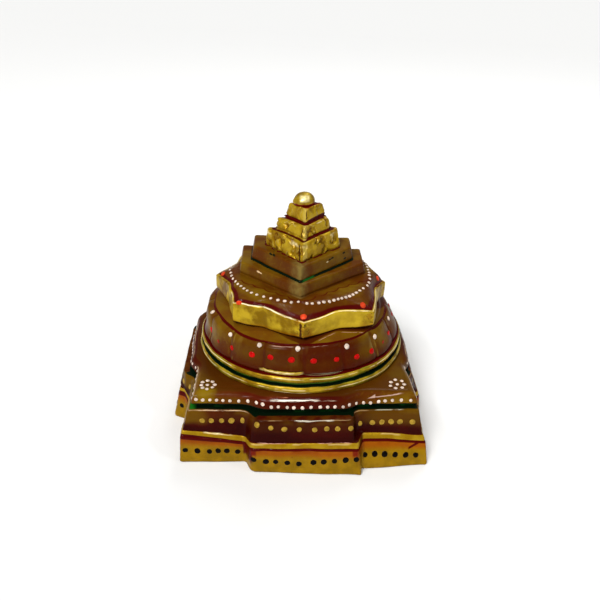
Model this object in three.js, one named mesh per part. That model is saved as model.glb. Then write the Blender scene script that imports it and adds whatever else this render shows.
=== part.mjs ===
// A Meru shri yantra: a stepped, hand-carved and gilded stone mountain.
// A gated square of courses carries two turned rings, a lotus of sixteen petals, a lotus of
// eight petals, four star-shaped tiers, a triangle and the bindu at the peak.
// Millimetres, +Z up, the front faces -Y, and the origin is at the middle of the underside.
import * as THREE from "three";

// How tall each tier is, from the underside up
const PLINTH_HEIGHT = 8.0;
const FILLET_HEIGHT = 1.3;
const MIDDLE_HEIGHT = 6.3;
const GREEN_HEIGHT = 1.6;
const UPPER_HEIGHT = 3.4;
const LOWER_RING_HEIGHT = 2.0;
const RING_GROOVE_HEIGHT = 1.1;
const UPPER_RING_HEIGHT = 1.7;
const SIXTEEN_HEIGHT = 8.2;
const SHOULDER_HEIGHT = 1.6;
const EIGHT_WALL_HEIGHT = 5.4;
const EIGHT_RISE = 3.1;
const FOURTEEN_HEIGHT = 3.7;
const OUTER_TEN_HEIGHT = 4.3;
const INNER_TEN_HEIGHT = 5.4;
const EIGHT_CORNER_HEIGHT = 3.4;
const TRIANGLE_HEIGHT = 4.1;
const BINDU_HEIGHT = 3.4;

// The level at which each tier hands over to the next
const FILLET_LEVEL = PLINTH_HEIGHT;
const MIDDLE_LEVEL = FILLET_LEVEL + FILLET_HEIGHT;
const GREEN_LEVEL = MIDDLE_LEVEL + MIDDLE_HEIGHT;
const UPPER_LEVEL = GREEN_LEVEL + GREEN_HEIGHT;
const LOWER_RING_LEVEL = UPPER_LEVEL + UPPER_HEIGHT;
const RING_GROOVE_LEVEL = LOWER_RING_LEVEL + LOWER_RING_HEIGHT;
const UPPER_RING_LEVEL = RING_GROOVE_LEVEL + RING_GROOVE_HEIGHT;
const SIXTEEN_LEVEL = UPPER_RING_LEVEL + UPPER_RING_HEIGHT;
const SHOULDER_LEVEL = SIXTEEN_LEVEL + SIXTEEN_HEIGHT;
const EIGHT_LEVEL = SHOULDER_LEVEL + SHOULDER_HEIGHT;
const FOURTEEN_LEVEL = EIGHT_LEVEL + EIGHT_WALL_HEIGHT + EIGHT_RISE;
const OUTER_TEN_LEVEL = FOURTEEN_LEVEL + FOURTEEN_HEIGHT;
const INNER_TEN_LEVEL = OUTER_TEN_LEVEL + OUTER_TEN_HEIGHT;
const EIGHT_CORNER_LEVEL = INNER_TEN_LEVEL + INNER_TEN_HEIGHT;
const TRIANGLE_LEVEL = EIGHT_CORNER_LEVEL + EIGHT_CORNER_HEIGHT;
const BINDU_LEVEL = TRIANGLE_LEVEL + TRIANGLE_HEIGHT;

// The gated square: half its width at the corner blocks
const BASE_HALF = 35.0;
const PLINTH_BATTER = 0.6;
const FILLET_SET_BACK = 0.3;
const MIDDLE_SET_BACK = 0.6;
const MIDDLE_BATTER = 1.6;
const UPPER_SET_BACK = 0.6;
const GREEN_DEPTH = 0.7;
const UPPER_BATTER = 0.8;
const UPPER_EDGE_WIDTH = 1.4;
const UPPER_EDGE_DROP = 0.7;
const COURSE_ROUND = 0.8;

// The gate in each side: half its width, the splay at each end of it, and how far it stands
// proud at the front and back and at the two sides. It narrows and draws in as it rises.
const PLINTH_GATE_HALF = 14.6;
const PLINTH_GATE_SPLAY = 1.8;
const MIDDLE_GATE_HALF = 12.8;
const MIDDLE_GATE_SPLAY = 3.2;
const UPPER_GATE_HALF = 11.4;
const UPPER_GATE_SPLAY = 4.2;
const FRONT_GATE_PROUD = 4.5;
const SIDE_GATE_PROUD = 3.6;
const UPPER_GATE_PROUD = 2.5;

// The turned rings
const LOWER_RING_RADIUS = 31.4;
const UPPER_RING_RADIUS = 30.9;
const RING_GROOVE_RADIUS = 30.0;
const RING_BULGE = 0.5;

// The drum of sixteen petals, whose rim draws in over its last stretch, and the slope above it,
// which starts a ledge inside the rim and ends a little inside the valleys of the eight petals
const SIXTEEN_FOOT_RADIUS = 30.2;
const SIXTEEN_TOP_RADIUS = 28.2;
const SIXTEEN_RELIEF = 0.6;
const SIXTEEN_FOOT_BEVEL = 0.7;
const SIXTEEN_RIM_HEIGHT = 1.3;
const SIXTEEN_RIM_SET_BACK = 1.7;
const SHOULDER_LEDGE = 0.6;
const SHOULDER_TOP_SET_BACK = 0.2;

// The lotus of eight petals: its tips, the valleys between them, its margin and its domed top
const EIGHT_TIP_RADIUS = 26.4;
const EIGHT_VALLEY_RADIUS = 22.6;
const EIGHT_MARGIN = 0.9;
const EIGHT_MARGIN_RISE = 0.3;
const EIGHT_DOME_RADIUS = 20.6;
const EIGHT_OGEE = 1.6;

// The star tiers: reach of the front apex, the sides and the back apex from the axis,
// and how far back each straight side starts and ends
const FOURTEEN_FRONT = 19.1;
const FOURTEEN_SIDE = 18.8;
const FOURTEEN_SIDE_START = -2.4;
const FOURTEEN_SIDE_END = 9.2;
const FOURTEEN_BACK = 18.2;
const OUTER_TEN_FRONT = 16.4;
const OUTER_TEN_SIDE = 15.0;
const OUTER_TEN_SIDE_START = -0.4;
const OUTER_TEN_SIDE_END = 7.6;
const OUTER_TEN_BACK = 14.4;
const INNER_TEN_FRONT = 12.6;
const INNER_TEN_SIDE = 10.9;
const INNER_TEN_SIDE_START = -0.6;
const INNER_TEN_SIDE_END = 2.6;
const INNER_TEN_BACK = 10.6;
const EIGHT_CORNER_FRONT = 9.3;
const EIGHT_CORNER_SIDE = 7.9;
const EIGHT_CORNER_SIDE_START = -0.4;
const EIGHT_CORNER_SIDE_END = 2.0;
const EIGHT_CORNER_BACK = 7.2;
const TRIANGLE_FRONT = 6.6;
const TRIANGLE_SIDE = 6.2;
const TRIANGLE_BACK = 1.9;
const TIER_BATTER = 0.8;
const TIER_LINE_HEIGHT = 0.4;
const TIER_LINE_DEPTH = 0.4;
const TIER_ROUND = 0.6;

// The bindu: a blunt bead, widest a little above its foot
const BINDU_FOOT_RADIUS = 3.0;
const BINDU_RADIUS = 3.2;
const BINDU_CROWN_RADIUS = 2.1;
const BINDU_BELLY_HEIGHT = 1.1;
const BINDU_CROWN_HEIGHT = 2.6;

// How many of each thing there are, and how finely curves are drawn
const SIXTEEN_COUNT = 16;
const EIGHT_COUNT = 8;
const FOURTEEN_STEPPED = 4;
const TEN_STEPPED = 2;
const EIGHT_STEPPED = 1;
const PETAL_STEPS = 8;
const LEAF_STEPS = 14;
const ROUND_STEPS = 96;
const CORNER_STEPS = 3;
const BEAD_STEPS = 32;
const BEAD_PROFILE_STEPS = 12;
const LONGEST_ROUND_SHARE = 0.4;

const GOLD = new THREE.MeshStandardMaterial({ color: 0xb8922a, roughness: 0.35, metalness: 0.8 });
const STONE = new THREE.MeshStandardMaterial({ color: 0x6b4410, roughness: 0.15, metalness: 0 });
const MAROON = new THREE.MeshStandardMaterial({ color: 0x4a0d06, roughness: 0.15, metalness: 0 });
const GREEN = new THREE.MeshStandardMaterial({ color: 0x0b3a1c, roughness: 0.2, metalness: 0 });

const CENTRE = new THREE.Vector2();
const FRONT_TURN = -Math.PI / 2;

function onCircle(radius, angle) {
  return new THREE.Vector2(radius * Math.cos(angle), radius * Math.sin(angle));
}

// Draws an outline inwards by the same distance on every edge, keeping its corners.
function inset(corners, distance) {
  return corners.map((corner, i) => {
    const before = corners[(i + corners.length - 1) % corners.length];
    const after = corners[(i + 1) % corners.length];
    const into = corner.clone().sub(before).normalize();
    const out = after.clone().sub(corner).normalize();
    const bisector = into.clone().add(out).normalize().rotateAround(CENTRE, Math.PI / 2);
    const share = bisector.dot(into.clone().rotateAround(CENTRE, Math.PI / 2));
    return corner.clone().addScaledVector(bisector, distance / share);
  });
}

// Turns each corner of a closed outline into a small arc that starts `cut` before the corner.
function roundCorners(corners, cut) {
  return corners.flatMap((corner, i) => {
    const before = corners[(i + corners.length - 1) % corners.length];
    const after = corners[(i + 1) % corners.length];
    const [start, end] = [before, after].map((neighbour) => {
      const edge = neighbour.clone().sub(corner);
      return corner.clone().add(edge.setLength(Math.min(cut, edge.length() * LONGEST_ROUND_SHARE)));
    });
    return new THREE.QuadraticBezierCurve(start, corner, end).getPoints(CORNER_STEPS);
  });
}

// A square with a splayed gate standing proud of the middle of each side, counter-clockwise.
function gatedSquare(half, gate) {
  const corners = [gate.front, gate.side, gate.front, gate.side].flatMap((proud, turn) => {
    const side = [
      [-half, -half],
      [-gate.half - gate.splay, -half],
      [-gate.half, -half - proud],
      [gate.half, -half - proud],
      [gate.half + gate.splay, -half],
    ];
    return side.map(([x, y]) => {
      return new THREE.Vector2(x, y).rotateAround(CENTRE, (turn * Math.PI) / 2);
    });
  });
  return roundCorners(corners, COURSE_ROUND);
}

function circle(radius, steps = ROUND_STEPS) {
  return Array.from({ length: steps }, (_, i) => {
    return onCircle(radius, FRONT_TURN + (i / steps) * 2 * Math.PI);
  });
}

// Sixteen rounded petals side by side; each swells out of the drum by SIXTEEN_RELIEF.
function sixteenPetals(radius) {
  const steps = SIXTEEN_COUNT * PETAL_STEPS;
  return Array.from({ length: steps }, (_, i) => {
    const swell = Math.sqrt(Math.abs(Math.sin((i / PETAL_STEPS) * Math.PI)));
    return onCircle(radius - SIXTEEN_RELIEF * (1 - swell), FRONT_TURN + (i / steps) * 2 * Math.PI);
  });
}

// Eight pointed petals with a tip to the front; the edge sweeps in between two tips.
function eightPetals(margin) {
  const steps = EIGHT_COUNT * LEAF_STEPS;
  return Array.from({ length: steps }, (_, i) => {
    const fromValley = Math.abs(1 - (2 * (i % LEAF_STEPS)) / LEAF_STEPS);
    const point = (EIGHT_TIP_RADIUS - EIGHT_VALLEY_RADIUS) * fromValley ** EIGHT_OGEE;
    return onCircle(EIGHT_VALLEY_RADIUS - margin + point, FRONT_TURN + (i / steps) * 2 * Math.PI);
  });
}

// A star tier's corners: a long V to the front, straight sides, then stepped corners on each
// side that close in on the back apex.
function star(front, side, sideStart, sideEnd, back, stepped) {
  const right = [new THREE.Vector2(side, sideStart), new THREE.Vector2(side, sideEnd)];
  for (let k = 1; k <= stepped; k++) {
    const share = k / (stepped + 1);
    const x = side * (1 - share);
    const y = sideEnd + (back - sideEnd) * Math.sin((share * Math.PI) / 2);
    right.push(new THREE.Vector2(x, right.at(-1).y), new THREE.Vector2(x, y));
  }
  const left = right.map((p) => new THREE.Vector2(-p.x, p.y)).reverse();
  return [new THREE.Vector2(0, -front), ...right, new THREE.Vector2(0, back), ...left];
}

// A closed solid through stacked outlines with equal numbers of points: [[z, outline], ...].
function loft(sections) {
  const count = sections[0][1].length;
  const positions = sections.flatMap(([z, outline]) => outline.flatMap((p) => [p.x, p.y, z]));
  const faces = [];
  for (let level = 0; level + 1 < sections.length; level++) {
    for (let i = 0; i < count; i++) {
      const next = (i + 1) % count;
      const a = level * count + i;
      const b = level * count + next;
      faces.push(a, b, b + count, a, b + count, a + count);
    }
  }
  const top = (sections.length - 1) * count;
  for (const [p, q, r] of THREE.ShapeUtils.triangulateShape(sections[0][1], [])) {
    faces.push(p, r, q);
  }
  for (const [p, q, r] of THREE.ShapeUtils.triangulateShape(sections.at(-1)[1], [])) {
    faces.push(top + p, top + q, top + r);
  }
  const geometry = new THREE.BufferGeometry();
  geometry.setAttribute("position", new THREE.Float32BufferAttribute(positions, 3));
  geometry.setIndex(faces);
  return geometry;
}

const yantra = new THREE.Group();

function addTier(name, geometry, material) {
  const mesh = new THREE.Mesh(geometry, material);
  mesh.name = name;
  yantra.add(mesh);
}

// The five courses of the gated square, each a little further back than the one below.
function addCourses() {
  const plinthTop = BASE_HALF - PLINTH_BATTER;
  const fillet = plinthTop - FILLET_SET_BACK;
  const filletTop = fillet - FILLET_SET_BACK;
  const middle = fillet - MIDDLE_SET_BACK;
  const middleTop = middle - MIDDLE_BATTER;
  const upper = middleTop - UPPER_SET_BACK;
  const upperTop = upper - UPPER_BATTER;
  const plinthGate = {
    half: PLINTH_GATE_HALF,
    splay: PLINTH_GATE_SPLAY,
    front: FRONT_GATE_PROUD,
    side: SIDE_GATE_PROUD,
  };
  const middleGate = {
    half: MIDDLE_GATE_HALF,
    splay: MIDDLE_GATE_SPLAY,
    front: FRONT_GATE_PROUD,
    side: SIDE_GATE_PROUD,
  };
  const upperGate = {
    half: UPPER_GATE_HALF,
    splay: UPPER_GATE_SPLAY,
    front: UPPER_GATE_PROUD,
    side: UPPER_GATE_PROUD,
  };
  const green = gatedSquare(upper - GREEN_DEPTH, upperGate);
  addTier(
    "plinth_band",
    loft([
      [0, gatedSquare(BASE_HALF, plinthGate)],
      [FILLET_LEVEL, gatedSquare(plinthTop, plinthGate)],
    ]),
    GOLD,
  );
  addTier(
    "plinth_fillet",
    loft([
      [FILLET_LEVEL, gatedSquare(fillet, plinthGate)],
      [MIDDLE_LEVEL, gatedSquare(filletTop, plinthGate)],
    ]),
    GOLD,
  );
  addTier(
    "middle_course",
    loft([
      [MIDDLE_LEVEL, gatedSquare(middle, plinthGate)],
      [GREEN_LEVEL, gatedSquare(middleTop, middleGate)],
    ]),
    MAROON,
  );
  addTier("green_course", loft([[GREEN_LEVEL, green], [UPPER_LEVEL, green]]), GREEN);
  addTier(
    "upper_course",
    loft([
      [UPPER_LEVEL, gatedSquare(upper, upperGate)],
      [LOWER_RING_LEVEL - UPPER_EDGE_DROP, gatedSquare(upperTop, upperGate)],
      [LOWER_RING_LEVEL, gatedSquare(upperTop - UPPER_EDGE_WIDTH, upperGate)],
    ]),
    STONE,
  );
}

// A turned ring with a rounded rim, solid to the axis as the carved tier is.
function ring(from, height, radius) {
  return loft([
    [from, circle(radius - RING_BULGE)],
    [from + height / 4, circle(radius - RING_BULGE / 4)],
    [from + height / 2, circle(radius)],
    [from + (height * 3) / 4, circle(radius - RING_BULGE / 4)],
    [from + height, circle(radius - RING_BULGE)],
  ]);
}

function addRings() {
  const groove = circle(RING_GROOVE_RADIUS);
  addTier("lower_ring", ring(LOWER_RING_LEVEL, LOWER_RING_HEIGHT, LOWER_RING_RADIUS), GOLD);
  addTier("green_ring", loft([[RING_GROOVE_LEVEL, groove], [UPPER_RING_LEVEL, groove]]), GREEN);
  addTier("upper_ring", ring(UPPER_RING_LEVEL, UPPER_RING_HEIGHT, UPPER_RING_RADIUS), GOLD);
}

function addSixteenPetalLotus() {
  const rim = SIXTEEN_TOP_RADIUS - SIXTEEN_RIM_SET_BACK;
  addTier(
    "sixteen_petal_lotus",
    loft([
      [SIXTEEN_LEVEL, sixteenPetals(SIXTEEN_FOOT_RADIUS - SIXTEEN_RELIEF)],
      [SIXTEEN_LEVEL + SIXTEEN_FOOT_BEVEL, sixteenPetals(SIXTEEN_FOOT_RADIUS)],
      [SHOULDER_LEVEL - SIXTEEN_RIM_HEIGHT, sixteenPetals(SIXTEEN_TOP_RADIUS)],
      [SHOULDER_LEVEL, sixteenPetals(rim)],
    ]),
    STONE,
  );
  addTier(
    "lotus_shoulder",
    loft([
      [SHOULDER_LEVEL, circle(rim - SHOULDER_LEDGE)],
      [EIGHT_LEVEL, circle(EIGHT_VALLEY_RADIUS - SHOULDER_TOP_SET_BACK)],
    ]),
    STONE,
  );
}

function addEightPetalLotus() {
  const wallTop = EIGHT_LEVEL + EIGHT_WALL_HEIGHT;
  addTier(
    "eight_petal_lotus",
    loft([
      [EIGHT_LEVEL, eightPetals(0)],
      [wallTop, eightPetals(0)],
      [wallTop + EIGHT_MARGIN_RISE, eightPetals(EIGHT_MARGIN)],
      [FOURTEEN_LEVEL, circle(EIGHT_DOME_RADIUS, EIGHT_COUNT * LEAF_STEPS)],
    ]),
    GOLD,
  );
}

// A battered tier with a line cut in round its foot, which parts it from the tier below.
function starTier(name, from, height, corners, material) {
  const line = roundCorners(inset(corners, TIER_LINE_DEPTH), TIER_ROUND);
  addTier(
    name,
    loft([
      [from, line],
      [from + TIER_LINE_HEIGHT, line],
      [from + TIER_LINE_HEIGHT + TIER_LINE_DEPTH, roundCorners(corners, TIER_ROUND)],
      [from + height, roundCorners(inset(corners, TIER_BATTER), TIER_ROUND)],
    ]),
    material,
  );
}

function addStars() {
  const fourteen = star(
    FOURTEEN_FRONT,
    FOURTEEN_SIDE,
    FOURTEEN_SIDE_START,
    FOURTEEN_SIDE_END,
    FOURTEEN_BACK,
    FOURTEEN_STEPPED,
  );
  const outerTen = star(
    OUTER_TEN_FRONT,
    OUTER_TEN_SIDE,
    OUTER_TEN_SIDE_START,
    OUTER_TEN_SIDE_END,
    OUTER_TEN_BACK,
    TEN_STEPPED,
  );
  const innerTen = star(
    INNER_TEN_FRONT,
    INNER_TEN_SIDE,
    INNER_TEN_SIDE_START,
    INNER_TEN_SIDE_END,
    INNER_TEN_BACK,
    TEN_STEPPED,
  );
  const eight = star(
    EIGHT_CORNER_FRONT,
    EIGHT_CORNER_SIDE,
    EIGHT_CORNER_SIDE_START,
    EIGHT_CORNER_SIDE_END,
    EIGHT_CORNER_BACK,
    EIGHT_STEPPED,
  );
  const three = [
    new THREE.Vector2(0, -TRIANGLE_FRONT),
    new THREE.Vector2(TRIANGLE_SIDE, TRIANGLE_BACK),
    new THREE.Vector2(-TRIANGLE_SIDE, TRIANGLE_BACK),
  ];
  starTier("fourteen_corner_tier", FOURTEEN_LEVEL, FOURTEEN_HEIGHT, fourteen, STONE);
  starTier("outer_ten_corner_tier", OUTER_TEN_LEVEL, OUTER_TEN_HEIGHT, outerTen, STONE);
  starTier("inner_ten_corner_tier", INNER_TEN_LEVEL, INNER_TEN_HEIGHT, innerTen, GOLD);
  starTier("eight_corner_tier", EIGHT_CORNER_LEVEL, EIGHT_CORNER_HEIGHT, eight, GOLD);
  starTier("triangle_tier", TRIANGLE_LEVEL, TRIANGLE_HEIGHT, three, GOLD);
}

// The bindu is revolved from a smooth profile.
function addBindu() {
  const side = new THREE.SplineCurve([
    new THREE.Vector2(BINDU_FOOT_RADIUS, 0),
    new THREE.Vector2(BINDU_RADIUS, BINDU_BELLY_HEIGHT),
    new THREE.Vector2(BINDU_CROWN_RADIUS, BINDU_CROWN_HEIGHT),
    new THREE.Vector2(0, BINDU_HEIGHT),
  ]);
  const profile = [new THREE.Vector2(0, 0), ...side.getPoints(BEAD_PROFILE_STEPS)];
  const geometry = new THREE.LatheGeometry(profile, BEAD_STEPS);
  geometry.rotateX(Math.PI / 2);
  geometry.translate(0, 0, BINDU_LEVEL);
  addTier("bindu", geometry, GOLD);
}

addCourses();
addRings();
addSixteenPetalLotus();
addEightPetalLotus();
addStars();
addBindu();

export default yantra;
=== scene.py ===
"""A small painted and gilded shri yantra, carved from one block of stone.

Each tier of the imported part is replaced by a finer, hand-carved one. Paint dots are raised drops
that sit on the carved surface. Lengths are in millimetres until a mesh is made.
"""

import math
import random

import bpy
from mathutils import Matrix, Vector, noise
from mathutils.bvhtree import BVHTree


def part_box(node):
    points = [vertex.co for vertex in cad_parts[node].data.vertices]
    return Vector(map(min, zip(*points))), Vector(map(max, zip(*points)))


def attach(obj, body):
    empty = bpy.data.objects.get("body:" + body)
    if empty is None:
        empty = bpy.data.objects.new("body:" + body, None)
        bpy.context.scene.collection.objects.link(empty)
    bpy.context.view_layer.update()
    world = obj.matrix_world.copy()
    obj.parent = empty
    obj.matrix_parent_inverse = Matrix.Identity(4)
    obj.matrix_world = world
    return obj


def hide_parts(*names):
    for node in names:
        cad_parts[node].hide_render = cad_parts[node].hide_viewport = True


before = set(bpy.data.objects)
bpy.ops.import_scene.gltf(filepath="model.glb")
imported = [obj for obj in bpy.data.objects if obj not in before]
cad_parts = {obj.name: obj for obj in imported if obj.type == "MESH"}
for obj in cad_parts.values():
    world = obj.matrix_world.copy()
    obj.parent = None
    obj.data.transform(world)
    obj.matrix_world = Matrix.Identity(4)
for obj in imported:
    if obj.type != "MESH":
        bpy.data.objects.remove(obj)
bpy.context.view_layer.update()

MM = 0.001
FRONT = -math.pi / 2

# The camera of the photograph, in millimetres and as three axes
CAMERA_PLACE = Vector((-6.54, -174.81, 124.25))
CAMERA_RIGHT = Vector((0.99953, -0.02675, 0.01500))
CAMERA_UP = Vector((-0.00100, 0.46024, 0.88779))
CAMERA_FORWARD = Vector((0.03065, 0.88739, -0.46000))
CAMERA_LENS = 38.33
SENSOR_WIDTH = 36.0

# The gates: half width, splay, and how proud at the front and at the sides
PLINTH_GATE = (14.6, 1.8, 4.5, 3.6)
MIDDLE_GATE = (12.8, 3.2, 4.5, 3.6)
UPPER_GATE = (11.4, 4.2, 2.5, 2.5)
LOW_ROUNDS = (0.6, 1.1, 1.5, 0.6, 0.9)
HIGH_ROUNDS = (0.6, 1.7, 1.7, 1.7, 1.7)

# The petals and stars, where the frame's boxes don't tell
SIXTEEN_RELIEF = 0.6
EIGHT_VALLEY_DEPTH = 3.8
EIGHT_OGEE = 1.6
EIGHT_WALL_HEIGHT = 5.4
EIGHT_VALLEY_LIFT = 0.7
EIGHT_CORNER_REACH = 0.7
TIER_ROUND = 0.7
SIDES = {
    "fourteen_corner_tier": (-2.4, 9.2, 4),
    "outer_ten_corner_tier": (-0.4, 7.6, 2),
    "inner_ten_corner_tier": (-0.6, 2.6, 2),
    "eight_corner_tier": (-0.4, 2.0, 1),
}
# How far the front apex and the left rear corner stand off the true star
LEANS = {
    "fourteen_corner_tier": (-1.1, 3.0),
    "outer_ten_corner_tier": (-0.9, 2.0),
    "inner_ten_corner_tier": (-0.4, 0.8),
    "eight_corner_tier": (0.0, 0.0),
}

# How far, in degrees, the lotus tips and valleys are turned from their even places
LOTUS_TURNS = (
    (-180, 0.0), (-90, -4.0), (-67.5, -5.0), (-45, -4.8), (-22.5, -7.5), (0, -0.5),
    (22.5, 2.5), (45, 0.9), (67.5, 7.0), (90, 2.0), (180, 0.0),
)

# How rough the hand carving is
WANDER = 0.30
WANDER_SIZE = 15.0
RIPPLE = 0.12
RIPPLE_SIZE = 4.5
SKIRT = 0.2
CARVING_SEED = 1

# How much higher than in the CAD model the hand left two edges of the base
FILLET_LIFT = 0.4
MIDDLE_LIFT = 0.4

OUTLINE_STEP = 0.8
PROFILE_STEP = 0.36
HIDDEN_STEP = 1.3


def reach(node):
    """The lowest and highest corner of a CAD node, in millimetres."""
    low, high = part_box(node)
    return low / MM, high / MM


def polar(radius, angle):
    return Vector((radius * math.cos(angle), radius * math.sin(angle)))


def smooth(value, start, end):
    """Rises softly from 0 at start to 1 at end."""
    share = min(max((value - start) / (end - start), 0.0), 1.0)
    return share * share * (3 - 2 * share)


def carved(place, strength=1.0):
    """Moves a point of the ideal surface to where the carver's hand left it."""
    wander = noise.noise_vector(place / WANDER_SIZE) * WANDER
    ripple = noise.noise_vector(place / RIPPLE_SIZE) * RIPPLE
    shift = (wander + ripple) * strength
    shift.z *= smooth(place.z, 0.5, 4.0)
    return place + shift


def lobed(place, size, depth):
    """Presses creases into a surface, so that soft lobes stand between them."""
    cell = Vector((place.x / size, place.y / size, place.z / (size * 1.3)))
    cell += noise.noise_vector(place / 2.2) * 0.45
    nearest = noise.voronoi(cell)[0]
    crease = (1 - smooth(nearest[1] - nearest[0], 0.0, 0.36)) ** 1.6
    crease *= smooth(noise.noise(place / 2.6), -0.25, 0.2)
    inward = Vector((-place.x, -place.y, -0.4 * place.xy.length)).normalized()
    return place + inward * depth * crease, crease


def askew(place):
    """Sets the base off true, as the photograph shows it."""
    x, y, z = place
    low = 1 - smooth(z, 0.0, 11.0)
    line = smooth(z, 3.0, 8.0) * (1 - smooth(z, 9.3, 14.0))
    middle = smooth(z, 9.5, 10.5) * (1 - smooth(z, 16.2, 17.0))
    if y < -30:
        block = smooth(x, 13.5, 17.5)
        gate = smooth(x, -18.0, -13.5) * (1 - block)
        forward = 3.1 * block * (1 - 0.45 * smooth(x, 18.0, 35.0)) + (0.5 + 0.055 * x) * gate
        place.y -= low * forward
        place.x += 1.0 * low * smooth(x, 8.0, 14.0) * smooth(-y, 35.5, 39.0)
        place.x -= 1.4 * middle * smooth(x, 13.0, 15.5) * (1 - smooth(x, 17.0, 24.0))
        place.z += line * smooth(-x, 14.0, 17.0) * (0.1225 * (-x - 25.5) - 0.03)
        place.z -= line * 0.95 * smooth(x, 22.0, 34.0)
    side_gate = 1 - smooth(abs(y), 16.5, 20.0)
    if side_gate > 0 and z < 17.5:
        left_front = side_gate * smooth(-x, 34.0, 36.0) * smooth(-y, 4.0, 14.0)
        place.x -= 1.5 * side_gate * smooth(x, 34.0, 36.5)
        place.x += (1.4 * smooth(z, 0.0, 8.5) - 0.9) * side_gate * smooth(-x, 34.0, 36.5)
        place.x -= middle * side_gate * (0.8 * smooth(x, 32.5, 34.5) + 0.45 * smooth(-x, 32.5, 34.5))
        place.y += 1.1 * left_front
        place.z += line * 1.1 * left_front
    upper = smooth(z, 15.0, 17.0)
    left = upper * smooth(-x, 28.0, 31.0)
    right = upper * smooth(x, 28.0, 31.0)
    place.x -= 0.9 * left * smooth(y, -8.0, 4.0) * (1 - smooth(y, 18.0, 27.0))
    place.y += 3.4 * left * smooth(y, 2.0, 12.0) * (1 - smooth(y, 17.0, 27.0))
    place.x -= 0.9 * right * (1 - 0.6 * smooth(y, -14.0, 2.0)) * (1 - smooth(abs(y), 12.0, 20.0))
    place.x += 0.5 * right * smooth(-y, 18.0, 28.0)
    return place


def tilted(place):
    """Tips the lotus tiers a little to the right, as the photograph shows them."""
    rim = smooth(place.z, 28.0, 33.0) * (1 - smooth(place.z, 36.0, 38.0))
    place.z += rim * (0.9 * smooth(-place.x, 14.0, 27.0) - 0.8 * smooth(place.x, 18.0, 27.0))
    place.x -= 0.8 * smooth(place.z, 27.0, 32.0) * (1 - smooth(place.z, 33.4, 34.2))
    return place


def between(marks, value):
    """Reads a value off a list of (place, value) marks, straight from one mark to the next."""
    for (start, low), (end, high) in zip(marks, marks[1:]):
        if start <= value <= end:
            return low + (high - low) * (value - start) / (end - start)
    return 0.0


def inset(corners, distance):
    """Draws a closed outline inwards by the same distance on every edge."""
    moved = []
    for i, corner in enumerate(corners):
        into = (corner - corners[i - 1]).normalized()
        out = (corners[(i + 1) % len(corners)] - corner).normalized()
        inward = Vector((-into.y - out.y, into.x + out.x)).normalized()
        share = inward.dot(Vector((-into.y, into.x)))
        moved.append(corner + inward * (distance / share))
    return moved


def bend(start, corner, end, steps):
    """Points of a quadratic curve from start towards end, without the end itself."""
    points = []
    for step in range(steps):
        t = step / steps
        points.append(start * (1 - t) ** 2 + corner * (2 * t * (1 - t)) + end * t ** 2)
    return points


def cornered(rule, height, cuts, step=OUTLINE_STEP):
    """An outline with rounded corners: rule gives the corners for a set-back and a height.

    The number of points stays the same at every set-back, so that outlines can be joined.
    """
    reference = rule(0.0, height)
    total = len(reference)
    counts = [
        max(3, round((reference[(i + 1) % total] - corner).length / step))
        for i, corner in enumerate(reference)
    ]

    def outline(back, level):
        corners = rule(back, level)
        points = []
        for i, corner in enumerate(corners):
            before = corners[i - 1]
            after = corners[(i + 1) % total]
            cut = cuts[i % len(cuts)]
            next_cut = cuts[(i + 1) % total % len(cuts)]
            near = min(cut, (before - corner).length * 0.42)
            far = min(cut, (after - corner).length * 0.42)
            stop = min(next_cut, (after - corner).length * 0.42)
            start = corner + (before - corner).normalized() * near
            end = corner + (after - corner).normalized() * far
            next_start = after + (corner - after).normalized() * stop
            points += bend(start, corner, end, 5)
            points += [end.lerp(next_start, k / counts[i]) for k in range(counts[i])]
        return points

    return outline


def rounded(radius_at, steps):
    """A round outline: radius_at gives the radius for an angle and a set-back."""

    def outline(back, level):
        angles = [FRONT + math.tau * i / steps for i in range(steps)]
        return [polar(radius_at(angle, back), angle) for angle in angles]

    return outline


def gated_square(half, foot_gate, head_gate, foot, head, rounds=LOW_ROUNDS):
    """A square with a splayed gate proud of each side, which changes from foot to head."""

    def corners(back, level):
        edge = half - back
        share = min(max((level - foot) / (head - foot), 0.0), 1.0)
        gate, splay, front, side = [a + (b - a) * share for a, b in zip(foot_gate, head_gate)]
        points = []
        for turn, proud in enumerate((front, side, front, side)):
            face = [
                Vector((-edge, -edge)),
                Vector((-gate - splay, -edge)),
                Vector((-gate, -edge - proud)),
                Vector((gate, -edge - proud)),
                Vector((gate + splay, -edge)),
            ]
            spin = Matrix.Rotation(turn * math.pi / 2, 2)
            points += [spin @ corner for corner in face]
        return points

    return cornered(corners, foot, rounds)


def petal_swell(angle):
    """0 in the crease between two of the sixteen petals and 1 on a petal's back."""
    return abs(math.sin(8 * (angle - FRONT))) ** 0.5


def from_valley(angle):
    """0 in the valley between two of the eight petals and 1 at a tip."""
    share = ((angle - FRONT) / (math.tau / 8)) % 1.0
    return abs(1 - 2 * share) ** EIGHT_OGEE


def star_corners(node):
    """A long V to the front, straight sides and stepped corners that close in on the back apex."""
    low, high = reach(node)
    start, end, stepped = SIDES[node]
    apex, rear = LEANS[node]
    right = [Vector((high.x, start)), Vector((high.x, end))]
    for k in range(1, stepped + 1):
        share = k / (stepped + 1)
        x = high.x * (1 - share)
        y = end + (high.y - end) * math.sin(share * math.pi / 2)
        right += [Vector((x, right[-1].y)), Vector((x, y))]
    left = [Vector((-p.x, p.y + rear * smooth(p.y, start, end) * p.x / high.x)) for p in reversed(right)]
    return [Vector((apex, low.y)), *right, Vector((0, high.y)), *left]


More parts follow.
